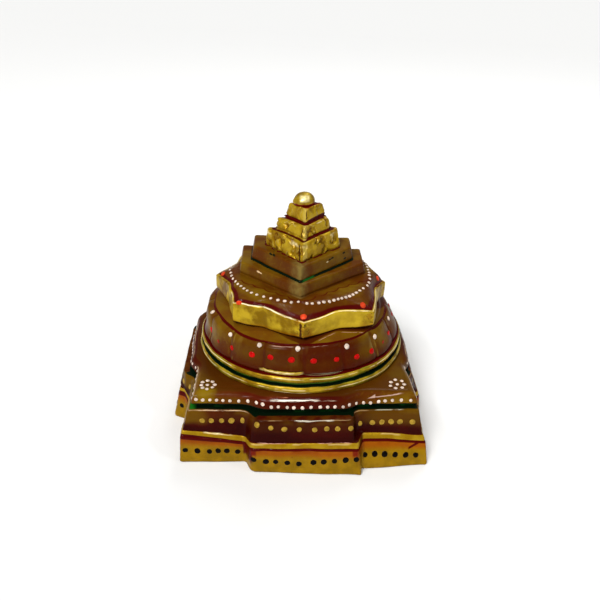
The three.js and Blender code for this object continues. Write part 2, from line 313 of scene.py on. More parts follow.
def softened(profile, cut=0.5, step=PROFILE_STEP):
    """Rounds the corners of an open profile of (set-back, height) and fills it with points."""
    points = [Vector(p) for p in profile]
    fine = []
    last = points[0]
    for i in range(1, len(points)):
        target = points[i]
        bent = i + 1 < len(points)
        if bent:
            near = min(cut, (points[i - 1] - target).length * 0.45)
            far = min(cut, (points[i + 1] - target).length * 0.45)
            stop = target + (points[i - 1] - target).normalized() * near
            leave = target + (points[i + 1] - target).normalized() * far
        else:
            stop = target
        hidden = i == 1 or not bent
        steps = max(1, round((stop - last).length / (HIDDEN_STEP if hidden else step)))
        fine += [last.lerp(stop, k / steps) for k in range(steps)]
        if bent:
            fine += bend(stop, target, leave, 3)
            last = leave
    fine.append(points[-1])
    return fine


def skin(name, outline, profile, warp=None, strength=1.0, lobes=None):
    """A closed carved tier: the outline drawn at each point of the profile, then both ends closed.

    The mesh keeps two attributes that the paint is laid out on: carve holds the run along the
    outline, the height above the foot and the set-back, and crease is 1 in the pressed-in lines.
    """
    foot = profile[0][1]
    rings = []
    marks = []
    for back, height in profile:
        loop = outline(back, height)
        rings.append([Vector((p.x, p.y, height)) for p in loop])
        runs = [0.0]
        for i in range(1, len(loop)):
            runs.append(runs[-1] + (loop[i] - loop[i - 1]).length)
        around = runs[-1] + (loop[0] - loop[-1]).length
        marks += [(min(run, around - run), height - foot, back) for run in runs]
    count = len(rings[0])
    for end, at_start in ((rings[0], True), (rings[-1], False)):
        for share in (0.85, 0.7, 0.5, 0.25):
            ring = [Vector((p.x * share, p.y * share, p.z)) for p in end]
            edge = profile[0][0] if at_start else profile[-1][0]
            back = edge + end[0].length * (1 - share)
            here = [(0.0, ring[0].z - foot, back)] * count
            rings.insert(0 if at_start else len(rings), ring)
            marks = here + marks if at_start else marks + here
    places = [place for ring in rings for place in ring]
    places += [Vector((0, 0, rings[0][0].z)), Vector((0, 0, rings[-1][0].z))]
    marks += [(0.0, 0.0, 99.0), (0.0, rings[-1][0].z - foot, 99.0)]
    faces = []
    for level in range(len(rings) - 1):
        for i in range(count):
            a = level * count + i
            b = level * count + (i + 1) % count
            faces.append((a, b, b + count, a + count))
    bottom = len(rings) * count
    last = (len(rings) - 1) * count
    for i in range(count):
        after = (i + 1) % count
        faces.append((after, i, bottom))
        faces.append((last + i, last + after, bottom + 1))
    creases = [0.0] * len(places)
    if warp:
        places = [warp(place, mark) for place, mark in zip(places, marks)]
    if lobes:
        pressed = [lobed(place, *lobes) for place in places]
        places = [place for place, crease in pressed]
        creases = [crease for place, crease in pressed]
    mesh = bpy.data.meshes.new(name)
    mesh.from_pydata([carved(place, strength) * MM for place in places], [], faces)
    mesh.shade_smooth()
    carve = mesh.attributes.new("carve", "FLOAT_VECTOR", "POINT")
    carve.data.foreach_set("vector", [value for mark in marks for value in mark])
    mesh.attributes.new("crease", "FLOAT", "POINT").data.foreach_set("value", creases)
    piece = bpy.data.objects.new(name, mesh)
    bpy.context.scene.collection.objects.link(piece)
    return piece


def settle(piece, node, material):
    """Lets a carved piece stand for its CAD node."""
    piece.data.materials.append(material)
    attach(piece, "root")
    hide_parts(node)
    carved_pieces.append(piece)


carved_pieces = []


class Finish:
    """A surface painted in coats: each coat covers what is below it through a mask."""

    def __init__(self, name, coat=0.08, specular=0.02):
        self.material = bpy.data.materials.new(name)
        self.material.use_nodes = True
        self.nodes = self.material.node_tree.nodes
        self.links = self.material.node_tree.links
        self.shader = self.nodes["Principled BSDF"]
        self.shader.inputs["Coat Weight"].default_value = coat
        self.shader.inputs["Coat Roughness"].default_value = 0.07
        self.shader.inputs["Specular IOR Level"].default_value = specular
        scale = self.nodes.new("ShaderNodeVectorMath")
        scale.operation = "SCALE"
        scale.inputs["Scale"].default_value = 1 / MM
        self.links.new(self.nodes.new("ShaderNodeTexCoord").outputs["Object"], scale.inputs[0])
        self.place = scale.outputs[0]
        self.x, self.y, self.z = self.split(self.place)
        self.run, self.up, self.back = self.split(self.attribute("carve").outputs["Vector"])
        self.crease = self.attribute("crease").outputs["Fac"]
        self.colour = None
        self.metal = None
        self.rough = None
        self.height = None

    def attribute(self, name):
        node = self.nodes.new("ShaderNodeAttribute")
        node.attribute_name = name
        return node

    def split(self, vector):
        parts = self.nodes.new("ShaderNodeSeparateXYZ")
        self.links.new(vector, parts.inputs[0])
        return parts.outputs

    def feed(self, socket, value):
        if isinstance(value, bpy.types.NodeSocket):
            self.links.new(value, socket)
        elif isinstance(value, tuple):
            socket.default_value = (*value, 1.0)
        else:
            socket.default_value = value

    def number(self, operation, first, second=0.0):
        node = self.nodes.new("ShaderNodeMath")
        node.operation = operation
        self.feed(node.inputs[0], first)
        self.feed(node.inputs[1], second)
        return node.outputs[0]

    def step(self, value, start, end):
        """0 up to start, 1 from end on, and soft between; falls instead where end is below."""
        node = self.nodes.new("ShaderNodeMapRange")
        node.interpolation_type = "SMOOTHSTEP"
        falls = end < start
        self.feed(node.inputs["Value"], value)
        self.feed(node.inputs["From Min"], end if falls else start)
        self.feed(node.inputs["From Max"], start if falls else end)
        self.feed(node.inputs["To Min"], 1.0 if falls else 0.0)
        self.feed(node.inputs["To Max"], 0.0 if falls else 1.0)
        return node.outputs[0]

    def noise(self, size, detail=3.0, stretch=(1.0, 1.0, 1.0), turn=0.0):
        """Cloudy noise whose patches are about size millimetres across."""
        mapping = self.nodes.new("ShaderNodeMapping")
        mapping.inputs["Scale"].default_value = [1 / (size * s) for s in stretch]
        mapping.inputs["Location"].default_value = (turn, turn * 1.7, turn * 0.6)
        node = self.nodes.new("ShaderNodeTexNoise")
        node.inputs["Scale"].default_value = 1.0
        node.inputs["Detail"].default_value = detail
        self.links.new(self.place, mapping.inputs["Vector"])
        self.links.new(mapping.outputs[0], node.inputs["Vector"])
        return node.outputs["Fac"]

    def brushed(self, length=4.0, width=0.3, turn=0.0):
        """Noise drawn out along the run of the outline, as a brush or a worn edge leaves it."""
        joined = self.nodes.new("ShaderNodeCombineXYZ")
        for socket, value, size in zip(joined.inputs, (self.run, self.up, self.back), (length, width, width)):
            self.feed(socket, self.number("ADD", self.number("MULTIPLY", value, 1 / size), turn))
        node = self.nodes.new("ShaderNodeTexNoise")
        node.inputs["Scale"].default_value = 1.0
        node.inputs["Detail"].default_value = 3.0
        self.links.new(joined.outputs[0], node.inputs["Vector"])
        return node.outputs["Fac"]

    def wobbly(self, value, amount, size=5.0, turn=0.0):
        """Lets a value waver as a brushed edge does."""
        waver = self.number("SUBTRACT", self.noise(size, 2.0, turn=turn), 0.5)
        return self.number("ADD", value, self.number("MULTIPLY", waver, 2 * amount))

    def band(self, value, low, high, edge=0.12):
        rise = self.step(value, low - edge, low + edge)
        fall = self.step(value, high + edge, high - edge)
        return self.number("MULTIPLY", rise, fall)

    def both(self, *masks):
        result = masks[0]
        for mask in masks[1:]:
            result = self.number("MULTIPLY", result, mask)
        return result

    def magnitude(self, value):
        return self.number("ABSOLUTE", value)

    def off_middle(self):
        """How far a point is from the middle of the side of the square that it is on."""
        return self.number("MINIMUM", self.magnitude(self.x), self.magnitude(self.y))

    def off_axis(self):
        """How far a point is from the upright axis."""
        square = self.number("ADD", self.both(self.x, self.x), self.both(self.y, self.y))
        return self.number("SQRT", square)

    def in_sector(self, count):
        """From 0 to 1 and back to 0 across each of count equal sectors, the first at the front."""
        angle = self.number("ARCTAN2", self.x, self.number("MULTIPLY", self.y, -1.0))
        turns = self.number("MULTIPLY", angle, count / math.tau)
        share = self.number("PINGPONG", turns, 0.5)
        return self.number("MULTIPLY", share, 2.0)

    def mix(self, share, below, above):
        node = self.nodes.new("ShaderNodeMix")
        colours = isinstance(above, tuple) or getattr(above, "type", "") == "RGBA"
        node.data_type = "RGBA" if colours else "FLOAT"
        pick = (6, 7, 2) if colours else (2, 3, 0)
        self.feed(node.inputs[0], share)
        self.feed(node.inputs[pick[0]], below)
        self.feed(node.inputs[pick[1]], above)
        return node.outputs[pick[2]]

    def coat(self, mask, colour, metal=0.0, rough=0.3):
        """Lays a coat of paint or leaf over what is there."""
        if mask is None:
            self.colour = colour
            self.metal = metal
            self.rough = rough
            return
        self.colour = self.mix(mask, self.colour, colour)
        self.metal = self.mix(mask, self.metal, metal)
        self.rough = self.mix(mask, self.rough, rough)

    def relief(self, height, strength):
        """Adds fine bumps, in millimetres of height times strength."""
        part = self.number("MULTIPLY", height, strength)
        self.height = part if self.height is None else self.number("ADD", self.height, part)

    def done(self):
        self.feed(self.shader.inputs["Base Color"], self.colour)
        self.feed(self.shader.inputs["Metallic"], self.metal)
        self.feed(self.shader.inputs["Roughness"], self.rough)
        if self.height is not None:
            bump = self.nodes.new("ShaderNodeBump")
            bump.inputs["Strength"].default_value = 1.0
            bump.inputs["Distance"].default_value = MM
            self.links.new(self.height, bump.inputs["Height"])
            self.links.new(bump.outputs["Normal"], self.shader.inputs["Normal"])
            self.links.new(bump.outputs["Normal"], self.shader.inputs["Coat Normal"])
        return self.material


OLIVE = (0.150, 0.078, 0.0025)
OLIVE_PALE = (0.24, 0.150, 0.022)
BROWN = (0.085, 0.022, 0.001)
MAROON = (0.048, 0.0022, 0.0005)
DEEP_MAROON = (0.020, 0.0006, 0.0002)
LINE_RED = (0.062, 0.0012, 0.0006)
RED_HAZE = (0.085, 0.008, 0.001)
ORANGE_STAIN = (0.27, 0.055, 0.0012)
GOLD_PAINT = (0.28, 0.150, 0.0025)
GOLD_BRIGHT = (0.46, 0.300, 0.016)
GOLD_DEEP = (0.21, 0.112, 0.002)
WORN_GOLD_AND_SHADE = (0.050, 0.015, 0.001)
CREAM = (0.80, 0.66, 0.34)
WHITE_GLINT = (0.86, 0.80, 0.68)
PALE_EDGE_HIGHLIGHT = (0.50, 0.34, 0.18)
PINK_HIGHLIGHT = (0.55, 0.28, 0.20)
PINK_GREY_REFLECTION = (0.42, 0.27, 0.21)
GREEN = (0.006, 0.070, 0.008)
GREEN_BLACK = (0.0015, 0.006, 0.0020)
GREEN_BRIGHT = (0.008, 0.12, 0.006)


def stone_coats(finish, light=OLIVE, dark=BROWN, turn=0.0):
    """Translucent brown stone under lacquer: cloudy, with finer veins."""
    cloud = finish.step(finish.noise(11.0, 4.0, turn=turn), 0.38, 0.66)
    finish.coat(None, finish.mix(cloud, dark, light), 0.0, 0.30)
    vein = finish.step(finish.noise(3.2, 5.0, turn=turn + 3), 0.52, 0.72)
    finish.coat(finish.both(vein, 0.45), dark)
    fleck = finish.step(finish.noise(0.9, 5.0, turn=turn + 6), 0.56, 0.70)
    finish.coat(finish.both(fleck, 0.35), light)
    finish.relief(finish.noise(2.4, 3.0, turn=turn), 0.06)
    finish.relief(finish.noise(0.8, 4.0, turn=turn + 1), 0.025)


def gold_coats(finish, bright=GOLD_BRIGHT, deep=GOLD_DEEP, wear=0.6, metal=0.5, turn=0.0):
    """Gold leaf: two tones, wrinkles, and thin spots where the brown ground shows."""
    cloud = finish.step(finish.noise(3.6, 4.0, turn=turn), 0.36, 0.64)
    finish.coat(None, finish.mix(cloud, deep, bright), metal, 0.36)
    scuff = finish.step(finish.noise(1.3, 6.0, turn=turn + 5), wear, wear + 0.10)
    finish.coat(finish.both(scuff, 0.75), WORN_GOLD_AND_SHADE, 0.1, 0.5)
    finish.relief(finish.noise(1.1, 4.0, turn=turn + 2), 0.10)
    finish.relief(finish.noise(3.5, 2.0, turn=turn + 7), 0.25)


def worn_edge_and_highlight(finish, value, low, high, colour=PALE_EDGE_HIGHLIGHT, share=0.50, turn=0.0):
    """A thin pale edge, broken here and there: partly worn paint, partly a painted highlight."""
    line = finish.band(finish.wobbly(value, 0.10, 3.0, turn), low, high, 0.08)
    whole = finish.step(finish.noise(7.0, 3.0, turn=turn + 11), share - 0.03, share + 0.05)
    finish.coat(finish.both(line, whole, 0.85), colour, 0.2, 0.25)


def smear_and_highlight_stroke(finish, value, low, high, start, end, colour, share=0.5, turn=0.0, along=None):
    """A stroke on the front, from start to end across, broken as by a dry brush: pale strokes are painted
    highlights, dark and gold ones are smears of paint.
    """
    line = finish.band(finish.wobbly(value, 0.10, 1.5, turn), low, high, 0.07)
    reach_mask = finish.band(finish.wobbly(finish.x if along is None else along, 1.2, 2.0, turn), start, end, 0.9)
    broken = finish.step(finish.brushed(3.5, 0.35, turn), share - 0.05, share + 0.05)
    front = finish.step(finish.y, -8.0, -12.0)
    finish.coat(finish.both(line, reach_mask, broken, front), colour, 0.0, 0.22)


def crack(finish, at, width, low, high):
    """A dark uneven crack that runs up the front."""
    across = finish.magnitude(finish.number("SUBTRACT", finish.wobbly(finish.x, 0.55, 1.3), at))
    thin = finish.step(across, width, width * 0.5)
    front = finish.step(finish.y, 0.0, -1.0)
    finish.coat(finish.both(thin, front, finish.band(finish.up, low, high, 0.4)), WORN_GOLD_AND_SHADE)


def plinth_finish():
    """Ochre gold, stained orange towards the dark red line at its top."""
    finish = Finish("ochre_gold")
    gold_coats(finish, GOLD_PAINT, GOLD_DEEP, wear=0.70, metal=0.2)
    height = finish.wobbly(finish.up, 0.45, 7.0)
    stain = finish.step(height, 4.6, 6.8)
    finish.coat(finish.both(stain, 0.85), ORANGE_STAIN, 0.05, 0.36)
    deeper = finish.both(finish.step(height, 5.8, 7.4), finish.step(finish.noise(6.0, 2.0), 0.42, 0.62))
    finish.coat(finish.both(deeper, 0.55), (0.16, 0.018, 0.001), 0.05, 0.36)
    splay = finish.band(finish.wobbly(finish.off_middle(), 0.3, 3.0), 14.3, 17.0, 0.3)
    left = finish.mix(finish.step(finish.x, 6.0, -6.0), 0.3, 1.0)
    ahead = finish.step(finish.y, -28.0, -34.0)
    high = finish.step(finish.wobbly(finish.up, 0.7, 2.5, 2.0), 2.4, 3.8)
    finish.coat(finish.both(splay, high, left, ahead), (0.060, 0.0012, 0.0006))
    gate_end = finish.band(finish.wobbly(finish.off_middle(), 0.3, 2.0, 5.0), 13.2, 14.7, 0.3)
    high = finish.step(finish.wobbly(finish.up, 0.5, 2.0, 4.0), 5.2, 6.2)
    finish.coat(finish.both(gate_end, high, ahead, 0.85), (0.12, 0.003, 0.001))
    stroke = finish.number("SUBTRACT", finish.up, finish.number("MULTIPLY", finish.x, 0.75))
    fork = finish.both(
        finish.band(stroke, -16.8, -15.95, 0.12), finish.band(finish.x, 29.4, 32.6, 0.3),
        finish.step(finish.y, -20.0, -30.0),
    )
    finish.coat(fork, LINE_RED)
    thick = finish.mix(finish.step(finish.x, -10.0, -18.0), 7.45, 7.05)
    ridge = finish.number("SUBTRACT", finish.wobbly(finish.up, 0.15, 6.0, 4.0), thick)
    finish.coat(finish.step(ridge, -0.08, 0.10), LINE_RED)
    # Painted shade: the foot is darkened where the base meets the floor.
    foot = finish.step(finish.up, 0.35, 0.0)
    finish.coat(finish.both(foot, 0.8), WORN_GOLD_AND_SHADE)
    return finish.done()


def fillet_finish():
    """Bright gold with a dark red foot, painted over with maroon behind its rim."""
    finish = Finish("fillet_gold")
    gold_coats(finish, (0.37, 0.225, 0.008), GOLD_PAINT, wear=0.72, metal=0.35, turn=2.0)
    edge = finish.wobbly(finish.back, 0.10, 5.0, 3.0)
    # A pale worn edge and painted highlights in pink and cream along the rim.
    worn_edge_and_highlight(finish, edge, 1.06, 1.20, (0.58, 0.40, 0.13), 0.56)
    finish.coat(finish.step(edge, 1.22, 1.36), MAROON)
    smear_and_highlight_stroke(finish, edge, 1.26, 1.46, -12.5, -5.0, PINK_HIGHLIGHT, 0.52, 3.0)
    smear_and_highlight_stroke(finish, edge, 1.26, 1.42, 4.0, 12.5, PINK_HIGHLIGHT, 0.52, 6.0)
    smear_and_highlight_stroke(finish, edge, 1.12, 1.34, -27.5, -20.0, CREAM, 0.44, 9.0)
    far_left = finish.mix(finish.step(finish.x, -20.0, -33.0), 0.36, 0.80)
    foot = finish.number("SUBTRACT", finish.wobbly(finish.up, 0.12, 6.0, 4.0), far_left)
    finish.coat(finish.step(foot, 0.08, -0.08), LINE_RED)
    joint = finish.band(finish.wobbly(finish.off_middle(), 0.2, 2.0), 15.3, 16.5, 0.25)
    finish.coat(finish.both(joint, finish.step(finish.x, 0.0, 2.0), 0.85), MAROON)
    return finish.done()


def middle_finish():
    """Dark maroon lacquer, browner towards its top and olive at its left end."""
    finish = Finish("maroon_lacquer", coat=0.05)
    stone_coats(finish, MAROON, DEEP_MAROON)
    height = finish.wobbly(finish.up, 1.0, 8.0)
    brown = finish.step(height, 2.2, 4.6)
    finish.coat(finish.both(brown, 0.40), BROWN, 0.0, 0.28)
    right = finish.both(finish.step(finish.x, 14.0, 20.0), finish.step(finish.y, -20.0, -28.0))
    left = finish.step(finish.wobbly(finish.x, 2.5, 6.0), -26.0, -30.5)
    behind = finish.step(finish.y, -26.0, -20.0)
    outer = finish.step(finish.wobbly(finish.off_middle(), 3.0, 8.0), 22.0, 31.0)
    ends = finish.both(behind, outer, finish.step(finish.x, 10.0, -10.0))
    olive = finish.number("MAXIMUM", finish.number("MAXIMUM", finish.both(right, 0.55), left), ends)
    finish.coat(finish.both(olive, finish.step(height, 1.6, 3.6), 0.55), OLIVE, 0.0, 0.28)
    near_top = finish.both(finish.step(height, 4.6, 5.8), finish.step(finish.noise(7.0, 3.0, turn=4.0), 0.45, 0.6))
    finish.coat(finish.both(near_top, 0.3), OLIVE, 0.0, 0.28)
    low = finish.step(finish.wobbly(finish.up, 0.5, 5.0, 2.0), 2.4, 1.0)
    finish.coat(finish.both(low, 0.7), DEEP_MAROON, 0.0, 0.3)
    gate = finish.step(finish.off_middle(), 13.6, 12.2)
    ledge = finish.both(gate, finish.step(finish.back, 3.0, 3.2))
    finish.coat(finish.both(gate, 0.35), DEEP_MAROON, 0.0, 0.3)
    finish.coat(finish.both(ledge, 0.8), finish.mix(finish.step(finish.noise(3.0, 3.0), 0.4, 0.6), MAROON, BROWN))
    # Along the rounded top edge: a pale worn edge and painted highlights.
    worn_edge_and_highlight(finish, finish.back, 2.90, 3.06, (0.34, 0.21, 0.09), 0.54, 3.0)
    smear_and_highlight_stroke(finish, finish.back, 2.88, 3.08, -29.5, -16.0, (0.50, 0.34, 0.20), 0.46, 2.0)
    smear_and_highlight_stroke(finish, finish.back, 2.80, 3.06, -4.0, 7.5, (0.50, 0.46, 0.36), 0.50, 5.0)
    smear_and_highlight_stroke(finish, finish.back, 2.98, 3.22, 18.0, 27.0, (0.34, 0.32, 0.22), 0.48, 4.0)
    inner = finish.number("SUBTRACT", finish.wobbly(finish.back, 0.12, 3.0), finish.mix(gate, 3.30, 4.85))
    end = finish.both(finish.step(finish.x, -29.5, -31.0), finish.step(finish.y, -20.0, -26.0))
    finish.coat(finish.step(inner, -0.08, 0.08), finish.mix(end, GREEN_BLACK, GREEN_BRIGHT), 0.0, 0.3)
    return finish.done()


def green_finish():
    """Dark green enamel that goes bright in places."""
    finish = Finish("green_enamel")
    bright = finish.step(finish.noise(8.0, 2.0, turn=1.5), 0.50, 0.66)
    finish.coat(None, finish.mix(finish.both(bright, 0.7), GREEN_BLACK, GREEN), 0.0, 0.3)
    end = finish.both(finish.step(finish.x, -29.5, -31.0), finish.step(finish.y, -20.0, -26.0))
    finish.coat(end, GREEN_BRIGHT, 0.0, 0.3)
    finish.relief(finish.noise(1.6, 3.0), 0.08)
    return finish.done()


def upper_finish():
    """Brown stone, maroon over the gates and near the rings, with a green-black painted foot."""
    finish = Finish("upper_stone", coat=0.06)
    stone_coats(finish, OLIVE, BROWN, turn=1.0)
    left = finish.step(finish.x, 6.0, -6.0)
    front = finish.step(finish.y, -20.0, -28.0)
    finish.coat(finish.both(left, front, 0.5), BROWN, 0.0, 0.28)
    reach_out = finish.mix(finish.step(finish.x, -4.0, 4.0), 0.0, 4.0)
    off_gate = finish.number("ADD", finish.wobbly(finish.off_middle(), 4.0, 12.0), reach_out)
    finish.coat(finish.both(finish.step(off_gate, 22.0, 11.0), 0.9), MAROON, 0.0, 0.28)
    near = finish.step(finish.wobbly(finish.off_axis(), 1.6, 7.0), 37.0, 33.0)
    plain = finish.mix(finish.step(finish.x, 8.0, 16.0), 1.0, 0.3)
    finish.coat(finish.both(near, plain, 0.85), MAROON, 0.0, 0.28)
    haze = finish.band(finish.wobbly(finish.x, 2.0, 6.0), -25.0, -8.0, 3.0)
    finish.coat(finish.both(haze, front, finish.step(finish.up, 1.6, 2.6), 0.6), RED_HAZE, 0.0, 0.28)
    wisp = finish.step(finish.noise(1.4, 4.0, (5.0, 1.0, 1.0), 5.0), 0.55, 0.68)
    finish.coat(finish.both(wisp, left, front, 0.40), (0.15, 0.025, 0.006), 0.0, 0.28)
    flat = finish.step(finish.up, 3.0, 3.3)
    finish.coat(finish.both(flat, 0.55), (0.064, 0.024, 0.0008), 0.0, 0.28)
    patch_x = finish.band(finish.wobbly(finish.x, 1.2, 2.5), -29.6, -25.0, 1.6)
    patch_y = finish.band(finish.wobbly(finish.y, 1.0, 2.5, 2.0), -31.2, -28.0, 1.2)
    finish.coat(finish.both(patch_x, patch_y, 0.55), (0.26, 0.17, 0.003), 0.0, 0.3)
    # Painted highlights, broken here and there, along the side edges and the back edges of the top.
    rim = finish.wobbly(finish.back, 0.06, 4.0)
    sides = finish.both(
        finish.step(finish.magnitude(finish.x), 29.0, 30.0),
        finish.band(finish.magnitude(finish.y), 15.5, 30.1, 0.5),
    )
    finish.coat(finish.both(sides, finish.band(rim, 4.30, 4.52, 0.06), 0.8), PALE_EDGE_HIGHLIGHT, 0.0, 0.25)
    behind = finish.step(finish.y, -12.0, -8.0)
    worn = finish.step(finish.brushed(4.0, 0.4, 3.0), 0.50, 0.58)
    finish.coat(finish.both(finish.band(rim, 4.6, 4.85, 0.06), behind, worn, 0.8), PALE_EDGE_HIGHLIGHT, 0.0, 0.25)
    # Painted glints on the front edge above the dots; the dark red stroke after them is paint.
    smear_and_highlight_stroke(finish, finish.back, 4.42, 4.80, -8.5, 3.5, WHITE_GLINT, 0.45, 2.0)
    smear_and_highlight_stroke(finish, finish.back, 4.45, 4.70, 3.0, 8.5, (0.50, 0.38, 0.28), 0.54, 4.0)
    smear_and_highlight_stroke(finish, finish.back, 5.2, 5.5, -12.0, -4.0, (0.34, 0.12, 0.06), 0.56, 6.0)
    # A painted reflection on the right terrace: a pink-grey line and a wedge.
    slant = finish.number("SUBTRACT", finish.up, finish.number("MULTIPLY", finish.x, 0.1))
    smear_and_highlight_stroke(finish, slant, 0.04, 0.26, 19.0, 27.0, PINK_GREY_REFLECTION, 0.38, 8.0)
    under = finish.number("SUBTRACT", finish.up, finish.number("MULTIPLY", finish.x, 0.08))
    over = finish.number("SUBTRACT", finish.up, finish.number("MULTIPLY", finish.x, 0.45))
    reflection_wedge = finish.both(
        finish.step(under, 0.30, 0.42), finish.step(over, -6.10, -6.24),
        finish.step(finish.x, 19.9, 19.6), finish.step(finish.y, -20.0, -28.0),
    )
    finish.coat(reflection_wedge, PINK_GREY_REFLECTION, 0.0, 0.25)
    foot = finish.step(finish.wobbly(finish.up, 0.06, 3.0), 0.38, 0.28)
    finish.coat(foot, GREEN_BLACK, 0.0, 0.3)
    return finish.done()


def ring_finish(name, turn):
    """Gold with brush lines that run round the ring."""
    finish = Finish(name)
    gold_coats(finish, GOLD_BRIGHT, GOLD_DEEP, wear=0.70, metal=0.45, turn=turn)
    brush = finish.step(finish.brushed(6.0, 0.35, turn), 0.50, 0.62)
    finish.coat(finish.both(brush, 0.45), (0.17, 0.06, 0.002), 0.2, 0.4)
    cloud = finish.step(finish.noise(9.0, 3.0, turn=6.0), 0.42, 0.56)
    fine = finish.step(finish.brushed(4.0, 0.22, turn + 3), 0.45, 0.60)
    finish.coat(finish.both(cloud, fine, 0.7), (0.13, 0.17, 0.008), 0.1, 0.35)
    # A pale edge along the top of the ring: worn paint and painted highlight.
    worn_edge_and_highlight(finish, finish.up, 1.28, 1.50, CREAM, 0.50, turn)
    return finish


def sixteen_finish():
    """Brown stone petals that go maroon at the foot, and a maroon line round the top."""
    finish = Finish("petal_stone", coat=0.06)
    stone_coats(finish, OLIVE, BROWN, turn=6.0)
    panel = finish.step(finish.noise(4.5, 2.0, (1.0, 1.0, 2.2), 9.0), 0.54, 0.64)
    finish.coat(finish.both(panel, 0.35), OLIVE_PALE)
    front = finish.step(finish.wobbly(finish.y, 3.0, 9.0), -19.0, -26.0)
    finish.coat(finish.both(front, 0.72), MAROON, 0.0, 0.28)
    foot = finish.step(finish.wobbly(finish.up, 1.4, 8.0), 4.2, 0.6)
    finish.coat(finish.both(foot, 0.8), MAROON, 0.0, 0.28)
    # Painted shade in the creases between the petals, and painted highlights on the petal edges at the sides.
    edge = finish.in_sector(16)
    finish.coat(finish.both(finish.step(edge, 0.14, 0.03), 0.45), MAROON)
    pale = finish.band(finish.wobbly(edge, 0.03, 2.0), 0.12, 0.18, 0.04)
    broken = finish.step(finish.noise(5.0, 3.0, turn=3.0), 0.48, 0.60)
    side = finish.step(finish.magnitude(finish.x), 12.0, 20.0)
    finish.coat(finish.both(pale, broken, side, 0.55), OLIVE_PALE)
    # Painted highlights on the petals' rounded top edge at the front.
    smear_and_highlight_stroke(finish, finish.back, 2.55, 2.80, -9.0, -3.0, (0.42, 0.24, 0.18), 0.46, 3.0)
    smear_and_highlight_stroke(finish, finish.back, 2.55, 2.80, 2.0, 6.0, (0.42, 0.24, 0.18), 0.46, 5.0)
    line = finish.step(finish.wobbly(finish.back, 0.22, 6.0), 2.88, 3.06)
    finish.coat(line, LINE_RED)
    ring_line = finish.step(finish.wobbly(finish.up, 0.15, 3.0), 0.75, 0.6)
    finish.coat(ring_line, LINE_RED)
    # At the foot in front: a smear of gold paint with dark strokes of paint; the cream and grey strokes are
    # painted highlights.
    ragged = finish.wobbly(finish.up, 0.30, 1.4, 3.0)
    smear_and_highlight_stroke(finish, ragged, 0.35, 1.45, -11.5, -0.5, (0.42, 0.28, 0.03), 0.28, 2.0)
    smear_and_highlight_stroke(finish, ragged, 0.55, 1.15, -11.5, -0.5, CREAM, 0.50, 2.0)
    smear_and_highlight_stroke(finish, finish.up, 1.45, 1.65, -12.0, 0.0, DEEP_MAROON, 0.30, 2.0)
    smear_and_highlight_stroke(finish, finish.up, 0.22, 0.42, 0.5, 10.5, CREAM, 0.40, 7.0)
    smear_and_highlight_stroke(finish, finish.up, 0.55, 1.0, 2.5, 9.5, (0.17, 0.16, 0.10), 0.48, 7.0)
    return finish.done()


def shoulder_finish():
    """Olive-brown stone between a dark red line and a painted shadow along the foot of the lotus wall."""
    finish = Finish("shoulder_stone", coat=0.06)
    stone_coats(finish, OLIVE, (0.12, 0.042, 0.002), turn=8.0)
    petal = finish.number("POWER", finish.number("SUBTRACT", 1.0, finish.in_sector(8)), EIGHT_OGEE)
    wall = finish.number("ADD", 26.4 - EIGHT_VALLEY_DEPTH, finish.number("MULTIPLY", petal, EIGHT_VALLEY_DEPTH))
    outside = finish.wobbly(finish.number("SUBTRACT", finish.off_axis(), wall), 0.25, 4.0)
    # Painted shadow on the shoulder along the foot of the wall, deeper on the right.
    right = finish.mix(finish.step(finish.x, -12.0, 0.0), 0.25, 0.85)
    finish.coat(finish.both(finish.step(outside, 0.80, 0.45), right), MAROON)
    # A painted highlight: a broken pale pink line on the right of the shoulder.
    pale = finish.step(finish.brushed(5.0, 0.5, 2.0), 0.44, 0.52)
    right = finish.band(finish.x, 4.0, 17.0, 0.8)
    finish.coat(finish.both(finish.band(outside, 1.00, 1.14, 0.05), pale, right, 0.8), PINK_HIGHLIGHT)
    line = finish.step(finish.wobbly(finish.back, 0.15), 0.35, 0.20)
    finish.coat(line, LINE_RED)
    return finish.done()


def scallops(finish):
    """A row of painted arcs on the lotus top, along the foot of the star that stands on it."""
    low, high = reach("fourteen_corner_tier")
    edge = Vector((high.x, SIDES["fourteen_corner_tier"][0] - low.y)).normalized()
    aside = finish.magnitude(finish.number("ADD", finish.x, 0.6))
    ahead = finish.number("SUBTRACT", finish.y, low.y)
    off_edge = finish.number("SUBTRACT", finish.both(aside, edge.y), finish.both(ahead, edge.x))
    along = finish.number("ADD", finish.both(aside, edge.x), finish.both(ahead, edge.y))
    arcs = finish.magnitude(finish.number("SINE", finish.number("MULTIPLY", along, 0.77)))
    widening = finish.number("ADD", finish.both(arcs, 0.8), finish.both(along, 0.085))
    out = finish.wobbly(finish.number("SUBTRACT", off_edge, widening), 0.12, 3.0)
    front = finish.step(finish.y, 1.0, -2.0)
    finish.coat(finish.both(finish.step(out, 1.10, 0.8), front, 0.50), BROWN)
    broken = finish.step(finish.noise(5.0, 2.0, turn=7.0), 0.30, 0.42)
    finish.coat(finish.both(finish.band(out, 0.82, 1.18, 0.08), front, broken), LINE_RED)


